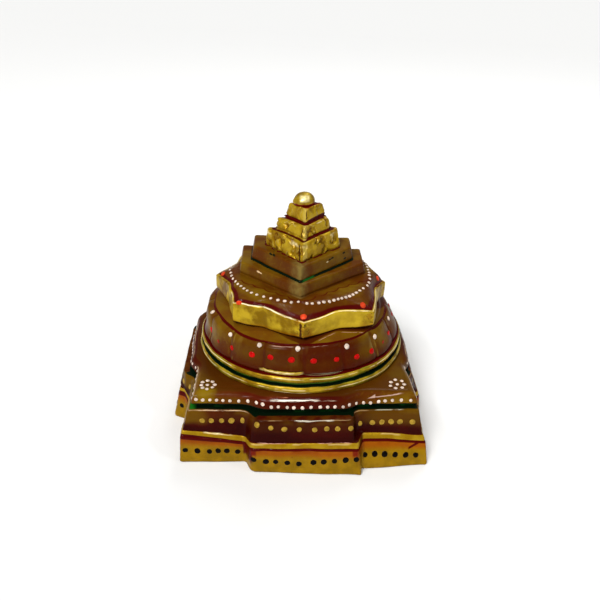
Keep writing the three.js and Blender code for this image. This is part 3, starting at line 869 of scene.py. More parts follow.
def eight_finish():
    """Gold wall, a maroon line inside its edge and olive-brown stone within."""
    finish = Finish("lotus_gold_and_stone")
    gold_coats(finish, (0.50, 0.335, 0.014), GOLD_DEEP, wear=0.66, metal=0.4, turn=9.0)
    tip = finish.both(finish.step(finish.in_sector(8), 0.36, 0.02), finish.step(finish.x, -14.0, -8.0))
    speck = finish.step(finish.noise(0.55, 5.0, turn=3.0), 0.55, 0.62)
    finish.coat(finish.both(tip, speck, 0.85), WORN_GOLD_AND_SHADE, 0.1, 0.5)
    shade = finish.step(finish.noise(2.2, 3.0, turn=6.0), 0.50, 0.64)
    finish.coat(finish.both(tip, shade, 0.35), ORANGE_STAIN, 0.2, 0.4)
    foot = finish.step(finish.wobbly(finish.up, 0.5, 4.0), 1.4, 0.4)
    finish.coat(finish.both(foot, 0.4), ORANGE_STAIN, 0.2, 0.4)
    # Painted light: the right face of the wall made brighter.
    lit_right_face = finish.both(finish.band(finish.x, 3.0, 17.0, 2.5), finish.step(finish.y, -10.0, -14.0))
    finish.coat(finish.both(lit_right_face, 0.45), (0.62, 0.43, 0.025), 0.3, 0.32)
    crack(finish, -1.1, 0.34, 0.2, 5.0)
    # Painted shadow: dark maroon along the foot of the wall.
    painted_foot_shadow = finish.step(finish.wobbly(finish.up, 0.15, 3.0), 0.50, 0.32)
    finish.coat(painted_foot_shadow, DEEP_MAROON)
    # A pale worn edge and cream painted highlights along the top of the wall.
    worn_edge_and_highlight(finish, finish.back, 0.24, 0.48, CREAM, 0.50, 4.0)
    ragged = finish.wobbly(finish.back, 0.14, 0.9, 2.0)
    smear_and_highlight_stroke(finish, ragged, 0.20, 0.62, -18.5, -3.0, (0.90, 0.80, 0.52), 0.43, 3.0)
    smear_and_highlight_stroke(finish, ragged, 0.22, 0.48, 3.0, 18.5, (0.85, 0.74, 0.46), 0.47, 5.0)
    inside = finish.step(finish.wobbly(finish.back, 0.15, 4.0), 0.70, 0.85)
    cloud = finish.step(finish.noise(8.0, 4.0), 0.4, 0.65)
    finish.coat(inside, finish.mix(cloud, BROWN, OLIVE), 0.0, 0.28)
    outer = finish.step(finish.wobbly(finish.off_axis(), 0.6, 5.0), 21.4, 22.8)
    finish.coat(finish.both(inside, outer, 0.75), BROWN, 0.0, 0.28)
    scallops(finish)
    line = finish.band(finish.wobbly(finish.back, 0.18, 4.0), 0.76, 1.45)
    finish.coat(line, LINE_RED)
    return finish.done()


def pale_apex(finish, at, width, share):
    """Thin stone at the front edge of a star, which lets the light through."""
    across = finish.magnitude(finish.number("SUBTRACT", finish.wobbly(finish.x, 0.5, 2.5), at))
    front = finish.step(finish.y, 0.0, -9.0)
    cloudy = finish.mix(finish.step(finish.noise(2.0, 3.0, turn=5.0), 0.38, 0.62), 0.5, 1.0)
    finish.coat(finish.both(finish.step(across, width, 0.0), front, cloudy, share), (0.22, 0.165, 0.040))


def mark(finish, x, up, size, colour):
    """A small chipped or painted mark on the front; the pale ones are painted highlights."""
    across = finish.number("SUBTRACT", finish.wobbly(finish.x, 0.15, 0.8), x)
    above = finish.number("MULTIPLY", finish.number("SUBTRACT", finish.wobbly(finish.up, 0.1, 0.7), up), 1.7)
    far = finish.number("ADD", finish.both(across, across), finish.both(above, above))
    front = finish.step(finish.y, 2.0, -1.0)
    finish.coat(finish.both(finish.step(far, size * size * 1.2, size * size * 0.6), front), colour, 0.0, 0.25)


def fourteen_finish():
    """Brown stone with a pale front edge."""
    finish = Finish("fourteen_corner_stone", coat=0.06)
    stone_coats(finish, OLIVE, BROWN, turn=1.0)
    low = finish.step(finish.wobbly(finish.up, 0.4, 6.0), 2.2, 0.6)
    finish.coat(finish.both(low, 0.55), BROWN)
    pale_apex(finish, -1.6, 3.4, 0.75)
    # Two small painted highlights near the top edge.
    mark(finish, -12.9, 3.1, 0.5, (0.62, 0.42, 0.22))
    mark(finish, -12.2, 3.0, 0.35, (0.62, 0.42, 0.22))
    return finish.done()


def outer_ten_finish():
    """Brown stone over a green-black painted line."""
    finish = Finish("outer_ten_corner_stone", coat=0.06)
    stone_coats(finish, OLIVE, BROWN, turn=4.0)
    corners = finish.step(finish.y, 4.0, 9.0)
    finish.coat(finish.both(corners, 0.35), OLIVE_PALE)
    pale_apex(finish, -1.2, 3.2, 0.65)
    for x, up in ((-9.3, 4.2), (-8.4, 4.25), (7.6, 3.3), (8.4, 3.5), (12.0, 3.6), (12.4, 1.9)):
        mark(finish, x, up, 0.45, GREEN_BLACK)
    # A small painted highlight.
    mark(finish, 6.9, 2.9, 0.3, (0.55, 0.45, 0.25))
    line = finish.step(finish.wobbly(finish.up, 0.16, 3.0), 0.84, 0.68)
    right = finish.band(finish.wobbly(finish.x, 0.4, 3.0), -0.3, 2.8, 0.5)
    finish.coat(line, finish.mix(right, GREEN_BLACK, GREEN))
    # A pale worn edge with painted highlights along the top.
    worn_edge_and_highlight(finish, finish.back, 0.64, 0.78, (0.36, 0.24, 0.10), 0.62, 2.0)
    return finish.done()


def gold_tier_finish(name, turn, line_height=0.62, right_height=0.62, top=MAROON, rim=1.45, worn=1.0):
    """A lumpy gilded tier: its creases darkened, partly as brown ground and partly as painted shade, with painted
    highlights on the lobes, the rim and the front edge.
    """
    finish = Finish(name, coat=0.08)
    gold_coats(finish, (0.45, 0.29, 0.011), (0.27, 0.150, 0.003), wear=0.80, metal=0.35, turn=turn)
    # Darker in the creases, partly brown ground and partly painted shade; painted highlights on the lobes beside
    # them. The worn argument scales this shade and these highlights.
    finish.coat(finish.both(finish.step(finish.crease, 0.25, 0.8), 0.45 * worn), (0.17, 0.070, 0.0015), 0.3, 0.4)
    shoulder = finish.band(finish.crease, 0.10, 0.30, 0.08)
    lit = finish.step(finish.noise(2.2, 3.0, turn=turn + 4), 0.46, 0.58)
    finish.coat(finish.both(shoulder, lit, 0.50 * worn), (0.60, 0.44, 0.13), 0.3, 0.3)
    dark = finish.step(finish.noise(1.6, 3.0, turn=turn + 6), 0.42, 0.54)
    thin = finish.step(finish.crease, 0.72, 0.95)
    finish.coat(finish.both(thin, dark, 0.8 * worn), (0.085, 0.020, 0.001), 0.1, 0.5)
    scratch = finish.step(finish.noise(0.8, 4.0, (3.0, 3.0, 0.6), turn + 8), 0.66, 0.74)
    finish.coat(finish.both(scratch, 0.3), CREAM, 0.3, 0.3)
    # A pale worn edge and painted highlight along the rim.
    worn_edge_and_highlight(finish, finish.back, 0.54, 0.68, CREAM, 0.56, turn)
    # A painted highlight up the front edge.
    bright = finish.magnitude(finish.number("SUBTRACT", finish.wobbly(finish.x, 0.3, 1.5), 0.3))
    front = finish.step(finish.y, 0.0, -3.0)
    finish.coat(finish.both(finish.step(bright, 0.8, 0.2), front, 0.5), (0.62, 0.47, 0.10), 0.3, 0.3)
    line = finish.mix(finish.step(finish.x, 0.2, 1.4), line_height, right_height)
    foot = finish.number("SUBTRACT", finish.wobbly(finish.up, 0.15, 2.0), line)
    finish.coat(finish.step(foot, 0.1, -0.1), LINE_RED)
    inside = finish.step(finish.wobbly(finish.back, 0.15, 2.0), rim - 0.1, rim + 0.1)
    finish.coat(inside, top)
    return finish


def bindu_finish():
    """Smooth gold with a painted highlight on its crown and a red foot."""
    finish = Finish("bindu_gold", coat=0.2)
    gold_coats(finish, GOLD_BRIGHT, GOLD_DEEP, wear=0.74, turn=24.0)
    height = finish.wobbly(finish.up, 0.4, 2.0)
    # A painted highlight on the front of the crown.
    crown_highlight = finish.band(height, 1.5, 3.0, 0.30)
    facing = finish.step(finish.wobbly(finish.y, 0.8, 2.5), 0.4, -0.6)
    inner = finish.step(finish.magnitude(finish.number("SUBTRACT", finish.x, 0.3)), 1.7, 1.0)
    finish.coat(finish.both(crown_highlight, facing, inner, 0.75), (0.80, 0.68, 0.30), 0.2, 0.25)
    foot = finish.step(finish.wobbly(finish.up, 0.3, 1.5), 1.0, 0.7)
    finish.coat(foot, (0.13, 0.003, 0.001))
    return finish.done()


def paint(name, colour, rough=0.3):
    """Thick drops of paint, a little uneven in tone."""
    finish = Finish(name, coat=0.06)
    cloud = finish.step(finish.noise(0.9, 3.0), 0.35, 0.7)
    shade = tuple(value * 0.62 for value in colour)
    finish.coat(None, finish.mix(cloud, shade, colour), 0.0, rough)
    finish.relief(finish.noise(0.5, 3.0), 0.05)
    return finish.done()


def add_courses():
    """The five courses of the gated square."""
    proud = PLINTH_GATE[2]
    half = reach("plinth_band")[1].y - proud
    middle_foot = reach("middle_course")[0].z
    middle_head = reach("middle_course")[1].z
    lower = gated_square(half, PLINTH_GATE, PLINTH_GATE, 0.0, 1.0)
    middle = gated_square(half, PLINTH_GATE, MIDDLE_GATE, middle_foot, middle_head, HIGH_ROUNDS)
    upper = gated_square(half, UPPER_GATE, UPPER_GATE, 0.0, 1.0, HIGH_ROUNDS)

    def tier(node, outline, profile, cut, material):
        fine = softened(profile, cut)
        piece = skin("carved_" + node, outline, fine, lambda place, mark: askew(place))
        settle(piece, node, material)

    foot, head = reach("plinth_band")[0].z, reach("plinth_band")[1].z
    profile = [(5.0, foot), (0.3, foot), (0.0, 0.4), (0.55, head - 0.4), (0.9, head), (4.0, head)]
    tier("plinth_band", lower, profile, 0.4, plinth_finish())

    foot, head = head, reach("plinth_fillet")[1].z + FILLET_LIFT
    profile = [
        (4.8, foot - SKIRT), (0.85, foot - SKIRT), (0.80, foot + 0.6), (1.30, head), (5.3, head),
    ]
    tier("plinth_fillet", lower, profile, 0.45, fillet_finish())

    foot, head = middle_foot + FILLET_LIFT, middle_head + MIDDLE_LIFT
    back = half + proud - reach("middle_course")[1].y
    profile = [
        (back + 4, foot - SKIRT), (back, foot - SKIRT), (back, foot + 0.2),
        (back + 1.15, head - 0.6), (back + 1.6, head), (back + 6, head),
    ]
    tier("middle_course", middle, profile, 0.5, middle_finish())

    foot, head = head, reach("green_course")[1].z
    back = half + UPPER_GATE[2] - reach("green_course")[1].y
    profile = [
        (back + 4, foot - SKIRT), (back, foot - SKIRT), (back, head + SKIRT), (back + 4, head + SKIRT),
    ]
    tier("green_course", upper, profile, 0.2, green_finish())

    foot, head = head, reach("upper_course")[1].z
    back = half + UPPER_GATE[2] - reach("upper_course")[1].y
    profile = [
        (back + 4, foot), (back + 0.05, foot), (back, foot + 0.3), (back + 0.6, head - 1.0),
        (back + 2.2, head), (back + 7, head), (back + 12, head),
    ]
    tier("upper_course", upper, profile, 0.7, upper_finish())


def add_rings():
    """Two gold rings with a green line between them."""
    lower = ring_finish("lower_ring_gold", 4.0)
    # Painted glints at the front of the lower ring.
    smear_and_highlight_stroke(lower, lower.up, 0.15, 0.62, -9.0, 1.5, (0.90, 0.72, 0.36), 0.42, 2.0)
    lower.coat(lower.step(lower.wobbly(lower.up, 0.10, 3.0), 2.04, 2.14), GREEN_BLACK)
    groove = Finish("ring_groove_paint")
    bright = groove.step(groove.noise(7.0, 2.0, turn=3.0), 0.40, 0.56)
    upper_half = groove.step(groove.wobbly(groove.up, 0.15, 3.0), 0.55, 0.80)
    groove.coat(None, GREEN_BLACK, 0.0, 0.3)
    groove.coat(groove.both(bright, upper_half), (0.05, 0.13, 0.006), 0.0, 0.3)
    upper = ring_finish("upper_ring_gold", 11.0)
    upper.coat(upper.step(upper.wobbly(upper.back, 0.15, 4.0), 0.50, 0.62), LINE_RED)
    for node, slot, material, depth in (
        ("lower_ring", "gilt_stone", lower.done(), 0.45),
        ("green_ring", "green_enamelled_stone", groove.done(), 0.0),
        ("upper_ring", "gilt_stone", upper.done(), 0.45),
    ):
        low, high = reach(node)
        outline = rounded(lambda angle, back, r=high.x: r - back, 360)
        middle = (low.z + high.z) / 2
        profile = [
            (5.0, low.z - SKIRT), (depth, low.z - SKIRT), (0.0, middle),
            (depth, high.z + 0.02), (5.0, high.z + 0.02),
        ]
        piece = skin("carved_" + node, outline, softened(profile, 0.6, 0.3))
        settle(piece, node, material)


def add_sixteen_petals():
    """The drum of sixteen petals and the slope above it."""
    low, high = reach("sixteen_petal_lotus")
    radius = high.x
    outline = rounded(
        lambda angle, back: radius - SIXTEEN_RELIEF * (1 - petal_swell(angle)) - back, 480
    )
    profile = [
        (4.0, low.z - SKIRT), (0.5, low.z - SKIRT), (0.25, low.z + 0.3), (0.05, low.z + 0.8),
        (1.15, low.z + 4.1), (1.9, high.z - 1.4), (2.5, high.z - 0.5), (3.7, high.z), (6.5, high.z),
    ]
    fine = softened(profile, 0.7)
    piece = skin("carved_sixteen_petal_lotus", outline, fine, lambda place, mark: tilted(place))
    settle(piece, "sixteen_petal_lotus", sixteen_finish())

    low, high = reach("lotus_shoulder")
    foot_radius = high.x + 0.7
    outline = rounded(lambda angle, back: foot_radius - back, 360)
    profile = [(3.0, low.z - SKIRT), (0.0, low.z - SKIRT), (0.0, low.z), (4.2, high.z), (7.0, high.z)]
    fine = softened(profile, 0.3)
    piece = skin("carved_lotus_shoulder", outline, fine, lambda place, mark: tilted(place))
    settle(piece, "lotus_shoulder", shoulder_finish())


def add_eight_petals():
    """The gold lotus of eight petals with its stone top."""
    low, high = reach("eight_petal_lotus")
    tip = high.x
    dome = tip - 3.0

    def radius_at(angle, back):
        diagonal = math.sin(2 * angle) ** 2
        point = tip + EIGHT_CORNER_REACH * diagonal
        petal = point - EIGHT_VALLEY_DEPTH * (1 - from_valley(angle))
        share = smooth(back, 0.7, 3.2)
        return petal * (1 - share) + dome * share - back

    def lean(place, mark):
        """Turns and lifts the rim petal by petal, as the photograph shows it."""
        angle = math.atan2(place.y, place.x)
        valley = 1 - from_valley(angle)
        degrees = math.degrees(math.atan2(place.x, -place.y))
        outer = 1 - smooth(mark[2], 0.9, 2.8)
        rim = smooth(mark[1], 2.0, EIGHT_WALL_HEIGHT) * outer
        front_tip = 1 - smooth(abs(degrees), 8.0, 20.0)
        place = tilted(place)
        place.z += rim * (EIGHT_VALLEY_LIFT * valley - 0.038 * place.x - 0.3 * front_tip - 0.1)
        foot = (1 - smooth(mark[1], 0.0, 4.0)) * outer
        place.z += foot * 1.0 * smooth(-place.x, 20.0, 26.0)
        place.x -= 0.9 * smooth(place.x, 21.0, 26.0) * outer
        turn = between(LOTUS_TURNS, degrees) * outer
        turned = Matrix.Rotation(math.radians(turn), 2) @ place.xy
        turned *= 1 - 0.030 * outer * smooth(degrees, -62.0, -50.0) * (1 - smooth(degrees, -43.0, -32.0))
        return Vector((turned.x, turned.y, place.z))

    wall = low.z + EIGHT_WALL_HEIGHT
    profile = [
        (4.0, low.z), (0.2, low.z), (0.0, low.z + 0.3), (0.0, wall - 0.2), (0.35, wall),
        (0.9, wall + 0.1), (2.4, high.z - 0.35), (3.3, high.z), (8.0, high.z),
    ]
    fine = softened(profile, 0.35)
    piece = skin("carved_eight_petal_lotus", rounded(radius_at, 640), fine, lean, 1.4)
    settle(piece, "eight_petal_lotus", eight_finish())


def add_tier(
    node, corners, material, flare=0.0, batter=0.6, strength=1.0, lobes=None, cut=TIER_ROUND
):
    """A star tier or the triangle: a painted flare at the foot, a battered wall, a crisp edge."""
    low, high = reach(node)
    step = 0.4 if lobes else 0.6
    outline = cornered(lambda back, level: inset(corners, back), 0.0, (cut,), step)
    profile = [
        (1.6, low.z - SKIRT), (-flare, low.z - SKIRT), (-flare, low.z + 0.12),
        (0.2, low.z + 0.3), (0.0, low.z + 0.8), (batter, high.z - 0.3),
        (batter + 0.35, high.z), (batter + 1.1, high.z),
    ]
    fine = softened(profile, 0.3, 0.28 if lobes else PROFILE_STEP)
    piece = skin("carved_" + node, outline, fine, None, strength, lobes)
    settle(piece, node, material)


def add_stars():
    """Two stone tiers, then three gilded ones."""
    node = "fourteen_corner_tier"
    add_tier(node, star_corners(node), fourteen_finish())
    node = "outer_ten_corner_tier"
    add_tier(node, star_corners(node), outer_ten_finish(), flare=0.35)
    node = "inner_ten_corner_tier"
    finish = gold_tier_finish("inner_ten_corner_gold", 3.0)
    crack(finish, -1.2, 0.24, 0.3, 5.0)
    add_tier(node, star_corners(node), finish.done(), 0.3, 0.7, 1.8, (4.8, 0.80))
    node = "eight_corner_tier"
    finish = gold_tier_finish("eight_corner_gold", 7.0, 0.38, 0.70, LINE_RED)
    crack(finish, -0.6, 0.2, 0.6, 3.0)
    add_tier(node, star_corners(node), finish.done(), 0.3, 0.5, 1.8, (4.6, 0.65))
    node = "triangle_tier"
    low, high = reach(node)
    corners = [
        Vector((0.5, low.y)), Vector((high.x + 0.9, high.y)), Vector((0.5, high.y + 1.3)),
        Vector((low.x + 0.5, high.y)),
    ]
    finish = gold_tier_finish("triangle_gold", 12.0, 0.75, 1.45, (0.12, 0.006, 0.001), 0.92, 0.3)
    crack(finish, 0.7, 0.2, 1.6, 4.0)
    add_tier(node, corners, finish.done(), 0.3, 0.5, 1.3, (4.2, 0.35), 1.1)


def add_bindu():
    """The bead at the peak, blunt and a little lumpy."""
    low, high = reach("bindu")
    radius = high.x
    outline = rounded(lambda angle, back: max(radius - back, 0.05), 72)
    profile = [
        (0.5, low.z - SKIRT), (0.05, low.z + 0.5), (0.1, low.z + 1.3), (0.7, low.z + 2.3),
        (1.7, high.z - 0.2), (3.0, high.z),
    ]
    piece = skin("carved_bindu", outline, softened(profile, 0.7, 0.25), None, 1.5, (3.2, 0.08))
    settle(piece, "bindu", bindu_finish())


def carved_surface():
    """One search tree over every carved piece, to set drops of paint on."""
    places = []
    faces = []
    for piece in carved_pieces:
        start = len(places)
        places += [vertex.co.copy() for vertex in piece.data.vertices]
        faces += [[start + i for i in face.vertices] for face in piece.data.polygons]
    return BVHTree.FromPolygons(places, faces)


def spot(surface, start, towards):
    """Where a line from start meets the carved surface, and the surface's normal there."""
    place, normal, _, _ = surface.ray_cast(Vector(start) * MM, Vector(towards).normalized())
    if place is None:
        return None
    if normal.dot(Vector(towards)) > 0:
        normal = -normal
    return place, normal


def side_spots(surface, side, marks, jitter=0.0):
    """Spots on one face of the square for (x, z) marks; side 0 is the front."""
    turn = Matrix.Rotation(side * math.pi / 2, 3, "Z")
    spots = []
    for x, z in marks:
        x += chance.uniform(-jitter, jitter)
        z += chance.uniform(-jitter, jitter) * 0.4
        spots.append(spot(surface, turn @ Vector((x, -60, z)), turn @ Vector((0, 1, 0))))
    return [found for found in spots if found]


def ring_spots(surface, angles, height):
    """Spots on a round wall, looked for from outside at each angle from the front."""
    spots = []
    for degrees in angles:
        out = polar(1.0, FRONT + math.radians(degrees))
        start = Vector((out.x * 60, out.y * 60, height + chance.uniform(-0.2, 0.2)))
        spots.append(spot(surface, start, (-out.x, -out.y, 0)))
    return [found for found in spots if found]


def top_spots(surface, points):
    """Spots on an upward face, looked for from above."""
    spots = [spot(surface, (x, y, 90), (0, 0, -1)) for x, y in points]
    return [found for found in spots if found]


def outward(spots):
    """Turns the drops of a round wall mostly outwards, across its creases."""
    return [
        (place, (normal + 1.5 * Vector((place.x, place.y, 0)).normalized()).normalized())
        for place, normal in spots
    ]


def add_drops(name, spots, radius, material, height=0.28):
    """Raised drops of paint, each a low dome with an uneven edge."""
    places = []
    faces = []
    sides = 14
    for place, normal in spots:
        size = radius * chance.uniform(0.92, 1.10) * MM
        frame_turn = normal.to_track_quat("Z", "Y").to_matrix()
        long = chance.uniform(1.0, 1.18)
        lean = chance.uniform(0, math.tau)
        uneven = [1 + chance.uniform(-0.06, 0.06) for _ in range(sides)]
        start = len(places)
        for share, lift in ((1.05, -0.25), (1.0, 0.12), (0.82, 0.55), (0.5, 0.88)):
            for i in range(sides):
                angle = math.tau * i / sides
                stretch = 1 + (long - 1) * abs(math.cos(angle - lean))
                arm = size * share * stretch * uneven[i]
                local = Vector((arm * math.cos(angle), arm * math.sin(angle), lift * height * MM))
                places.append(place + frame_turn @ local)
        places.append(place + normal * height * MM)
        for ring in range(3):
            for i in range(sides):
                a = start + ring * sides + i
                b = start + ring * sides + (i + 1) % sides
                faces.append((a, b, b + sides, a + sides))
        for i in range(sides):
            faces.append((start + 3 * sides + i, start + 3 * sides + (i + 1) % sides, start + 4 * sides))
        faces.append([start + i for i in reversed(range(sides))])
    mesh = bpy.data.meshes.new(name)
    mesh.from_pydata(places, [], faces)
    mesh.shade_smooth()
    drops = bpy.data.objects.new(name, mesh)
    bpy.context.scene.collection.objects.link(drops)
    mesh.materials.append(material)
    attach(drops, "root")


# Where the photograph shows the middle of each dot, in pixels across and down
PHOTO_WIDTH = 600
BLACK_PIXELS = [
    (181.8, 405.5), (185.2, 450.1), (197.3, 450.8), (209.5, 451.5), (218.1, 450.8), (226.9, 450.9),
    (237.7, 451.7), (253.3, 459.7), (265.9, 461.6), (275.7, 461.8), (287.3, 462.9),
    (298.8, 463.9), (313.5, 462.5), (323.8, 462.0), (334.5, 461.2), (345.7, 460.1),
    (356.3, 459.7), (364.9, 454.6), (374.7, 453.9), (384.7, 454.1), (395.2, 454.6),
    (405.7, 454.9), (415.7, 455.0),
]
GOLD_PIXELS = [
    (202.2, 420.7), (211.3, 420.7), (221.6, 420.7), (231.4, 420.7), (242.3, 420.5),
    (256.8, 424.9), (270.8, 428.0), (284.3, 429.4), (299.3, 429.6), (314.7, 429.9),
    (326.8, 428.9), (337.8, 428.9), (350.9, 428.4), (360.2, 423.5), (372.3, 422.6),
    (381.9, 422.1), (391.2, 421.7), (399.9, 421.7), (412.5, 421.9),
]
WHITE_PIXELS = [
    (195.9, 399.5), (202.7, 400.0), (209.9, 400.0), (216.5, 400.2), (222.9, 400.5),
    (229.9, 400.9), (238.8, 401.1), (247.9, 401.1), (256.3, 402.7), (262.6, 404.4),
    (271.3, 407.2), (278.3, 406.9), (287.3, 407.5), (293.9, 407.9), (302.5, 408.1),
    (311.0, 407.5), (320.3, 407.2), (327.7, 407.2), (335.0, 407.0), (343.2, 407.0),
    (349.5, 404.9), (356.5, 403.3), (363.7, 402.8), (370.5, 403.0), (378.7, 401.6),
    (385.1, 400.9), (392.4, 400.4), (401.3, 400.2), (410.8, 400.4),
]
ROSETTE_PIXELS = [
    (207.4, 384.9), (207.7, 380.6), (212.6, 381.8), (214.8, 384.7), (212.3, 387.3),
    (206.9, 388.9), (202.6, 387.7), (201.4, 385.0), (202.6, 382.1), (397.3, 384.3),
    (391.0, 382.1), (395.3, 379.8), (401.8, 381.0), (404.2, 384.3), (402.2, 387.6),
    (395.6, 388.1), (390.5, 385.7),
]
RED_PIXELS = [
    (211.6, 329.7), (231.9, 348.1), (251.8, 354.8), (270.4, 357.5),
    (291.4, 360.4), (313.6, 361.4), (336.6, 359.9), (357.0, 357.0), (371.7, 351.7),
    (388.6, 333.6),
]
WORN_PIXELS = [(218.2, 341.4), (383.2, 342.3)]
DRUM_PIXELS = [
    (212.5, 311.9), (230.4, 334.6), (259.4, 345.1), (297.9, 348.6), (346.9, 346.5),
    (374.9, 336.7), (388.5, 318.5),
]
RING_PIXELS = [
    (238.7, 254.9), (235.7, 257.9), (234.4, 260.7), (232.3, 264.5), (230.9, 267.1),
    (230.1, 269.8), (230.9, 272.7), (231.6, 275.7), (233.0, 278.7), (235.5, 281.5),
    (237.8, 284.0), (241.0, 286.1), (244.0, 288.5), (247.2, 290.6), (251.5, 292.7),
    (256.8, 294.7), (263.7, 296.7), (270.7, 298.4), (278.0, 300.0), (284.7, 301.1),
    (291.3, 302.3), (298.4, 301.8), (306.9, 303.4), (312.3, 303.4), (318.9, 302.9),
    (323.9, 302.0), (329.5, 301.5), (334.0, 300.2), (338.1, 299.1), (341.8, 298.3),
    (345.9, 297.3), (349.6, 296.1), (353.0, 294.7), (356.4, 292.7), (359.9, 290.6),
    (363.3, 288.3), (367.4, 285.6), (369.0, 282.6), (369.9, 278.7), (369.2, 275.1),
    (369.0, 272.5), (368.1, 269.8), (367.4, 267.1), (365.8, 264.5),
]
TIP_PIXELS = [
    (223.0, 273.7), (239.1, 302.4), (303.5, 316.7), (363.0, 305.2), (377.7, 278.3),
]


def seen_spots(surface, pixels):
    """Spots on the carved surface that the photograph shows at the given pixels."""
    ahead = CAMERA_FORWARD * (CAMERA_LENS / SENSOR_WIDTH * PHOTO_WIDTH)
    spots = []
    for across, down in pixels:
        aside = CAMERA_RIGHT * (across - PHOTO_WIDTH / 2) - CAMERA_UP * (down - PHOTO_WIDTH / 2)
        spots.append(spot(surface, CAMERA_PLACE, ahead + aside))
    return [found for found in spots if found]


def side_row(pitch, height, reach_out):
    """Evenly spaced marks along a side that the photograph doesn't show."""
    count = round(2 * reach_out / pitch)
    return [(-reach_out + 2 * reach_out * i / count, height) for i in range(count + 1)]


def add_paint_dots():
    """Every painted dot, row by row: the front ones as seen, the rest in the same rhythm."""
    surface = carved_surface()
    black = paint("black_paint", (0.003, 0.0022, 0.0015))
    gold = paint("gold_dot_paint", (0.38, 0.235, 0.028), 0.4)
    white = paint("white_paint", (0.82, 0.66, 0.54), 0.45)
    red = paint("red_paint", (0.56, 0.004, 0.003))
    orange = paint("orange_paint", (0.72, 0.060, 0.015))

    for name, pixels, row, material, radius in (
        ("black_dots", BLACK_PIXELS, (3.0, 3.9, 33.0), black, 0.76),
        ("gold_dots", GOLD_PIXELS, (3.2, 12.8, 29.5), gold, 0.71),
        ("white_row_dots", WHITE_PIXELS, (2.1, 18.4, 29.3), white, 0.44),
    ):
        seen = seen_spots(surface, pixels)
        spots = list(seen)
        for side in (1, 2, 3):
            for found in side_spots(surface, side, side_row(*row), 0.4):
                if all((found[0] - other[0]).length > 2.4 * radius * MM for other in seen):
                    spots.append(found)
        add_drops(name, spots, radius, material, 0.12)

    spots = seen_spots(surface, ROSETTE_PIXELS)
    for turn in (2, 3):
        spin = Matrix.Rotation(turn * math.pi / 2, 2)
        points = [Vector((-26.5, -26.5))]
        for i in range(8):
            points.append(points[0] + polar(chance.uniform(1.95, 2.2), math.tau * i / 8 + 0.3))
        spots += top_spots(surface, [spin @ point for point in points])
    add_drops("white_rosettes", spots, 0.50, white, 0.22)

    spots = seen_spots(surface, RED_PIXELS)
    spots += ring_spots(surface, [86 + 12.2 * i for i in range(16)], 29.5)
    add_drops("red_dots", outward(spots), 0.84, red, 0.2)
    worn = paint("worn_red_paint", (0.30, 0.022, 0.006), 0.4)
    add_drops("worn_red_dots", outward(seen_spots(surface, WORN_PIXELS)), 0.62, worn, 0.12)

    spots = seen_spots(surface, DRUM_PIXELS)
    spots += ring_spots(surface, [106 + 24.5 * i for i in range(7)], 32.3)
    add_drops("white_drum_dots", spots, 0.66, white, 0.25)

    spots = seen_spots(surface, RING_PIXELS)
    behind = [FRONT + math.radians(108 + 5.4 * i) for i in range(24)]
    spots += top_spots(surface, [polar(21.2 + chance.uniform(-0.15, 0.15), angle) for angle in behind])
    add_drops("white_ring_dots", spots, 0.43, white, 0.25)

    spots = seen_spots(surface, TIP_PIXELS)
    spots += top_spots(surface, [polar(24.4, FRONT + i * math.pi / 4) for i in (3, 4, 5)])
    add_drops("orange_tip_dots", spots, 0.80, orange, 0.22)


def add_camera():
    """The camera at the photograph's place, aimed by its three axes."""
    camera = bpy.data.objects.new("camera", bpy.data.cameras.new("camera"))
    bpy.context.scene.collection.objects.link(camera)
    camera.data.sensor_width = SENSOR_WIDTH
    camera.data.lens = CAMERA_LENS
    axes = Matrix((CAMERA_RIGHT, CAMERA_UP, -CAMERA_FORWARD)).transposed()
    camera.matrix_world = Matrix.Translation(CAMERA_PLACE * MM) @ axes.to_4x4()
    bpy.context.scene.camera = camera


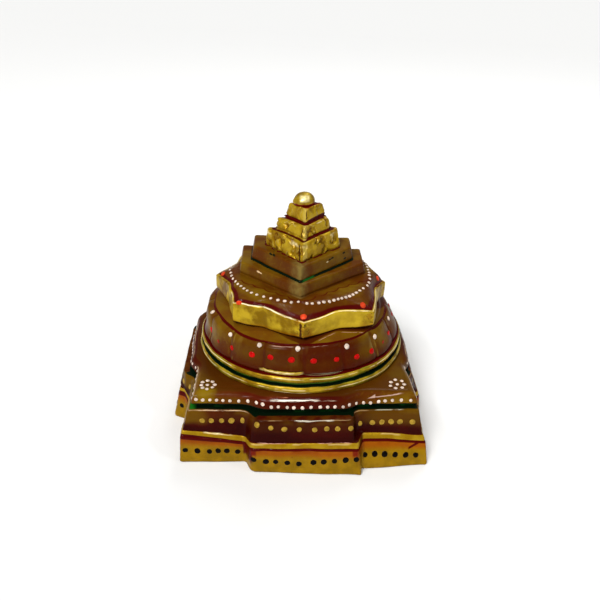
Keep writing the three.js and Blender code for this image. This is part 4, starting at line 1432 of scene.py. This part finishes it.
def add_floor():
    """A plain pale floor that the object stands on."""
    half = 9.0
    mesh = bpy.data.meshes.new("floor")
    corners = [(-half, -half, 0), (half, -half, 0), (half, half, 0), (-half, half, 0)]
    mesh.from_pydata(corners, [], [(0, 1, 2, 3)])
    floor = bpy.data.objects.new("floor", mesh)
    bpy.context.scene.collection.objects.link(floor)
    pale = bpy.data.materials.new("pale_floor")
    pale.use_nodes = True
    shader = pale.node_tree.nodes["Principled BSDF"]
    shader.inputs["Base Color"].default_value = (0.80, 0.80, 0.79, 1)
    shader.inputs["Roughness"].default_value = 0.9
    shader.inputs["Specular IOR Level"].default_value = 0.1
    mesh.materials.append(pale)


def add_lamp(light, place, aim):
    lamp = bpy.data.objects.new(light.name, light)
    bpy.context.scene.collection.objects.link(lamp)
    lamp.location = place
    lamp.rotation_euler = (Vector(aim) - Vector(place)).to_track_quat("-Z", "Y").to_euler()


def add_light(name, place, size, power):
    """A square soft light aimed at the middle of the object."""
    light = bpy.data.lights.new(name, "AREA")
    light.size = size
    light.energy = power
    add_lamp(light, place, (0, 0, 0.03))


def add_sun(name, place, strength, spread):
    """Even light that comes from one side."""
    light = bpy.data.lights.new(name, "SUN")
    light.energy = strength
    light.angle = math.radians(spread)
    add_lamp(light, place, (0, 0, 0))


def add_world():
    """An even pale sky that fills the shadows."""
    world = bpy.data.worlds.new("studio")
    world.use_nodes = True
    world.node_tree.nodes["Background"].inputs["Color"].default_value = (1, 1, 1, 1)
    world.node_tree.nodes["Background"].inputs["Strength"].default_value = 0.30
    bpy.context.scene.world = world


chance = random.Random(7)
noise.seed_set(CARVING_SEED)
bpy.context.scene.view_settings.view_transform = "Standard"

add_camera()
add_floor()
add_world()
add_sun("daylight", (-0.45, -0.80, 0.95), 2.8, 20.0)
add_sun("left_glint", (-0.60, -0.45, 0.90), 0.30, 2.5)
add_sun("right_glint", (0.65, -0.25, 0.80), 0.25, 2.5)
add_sun("top_glint", (-0.05, -0.30, 0.95), 0.40, 3.0)
add_light("back", (0.15, 0.40, 0.60), 0.20, 1.0)

add_courses()
add_rings()
add_sixteen_petals()
add_eight_petals()
add_stars()
add_bindu()
add_paint_dots()
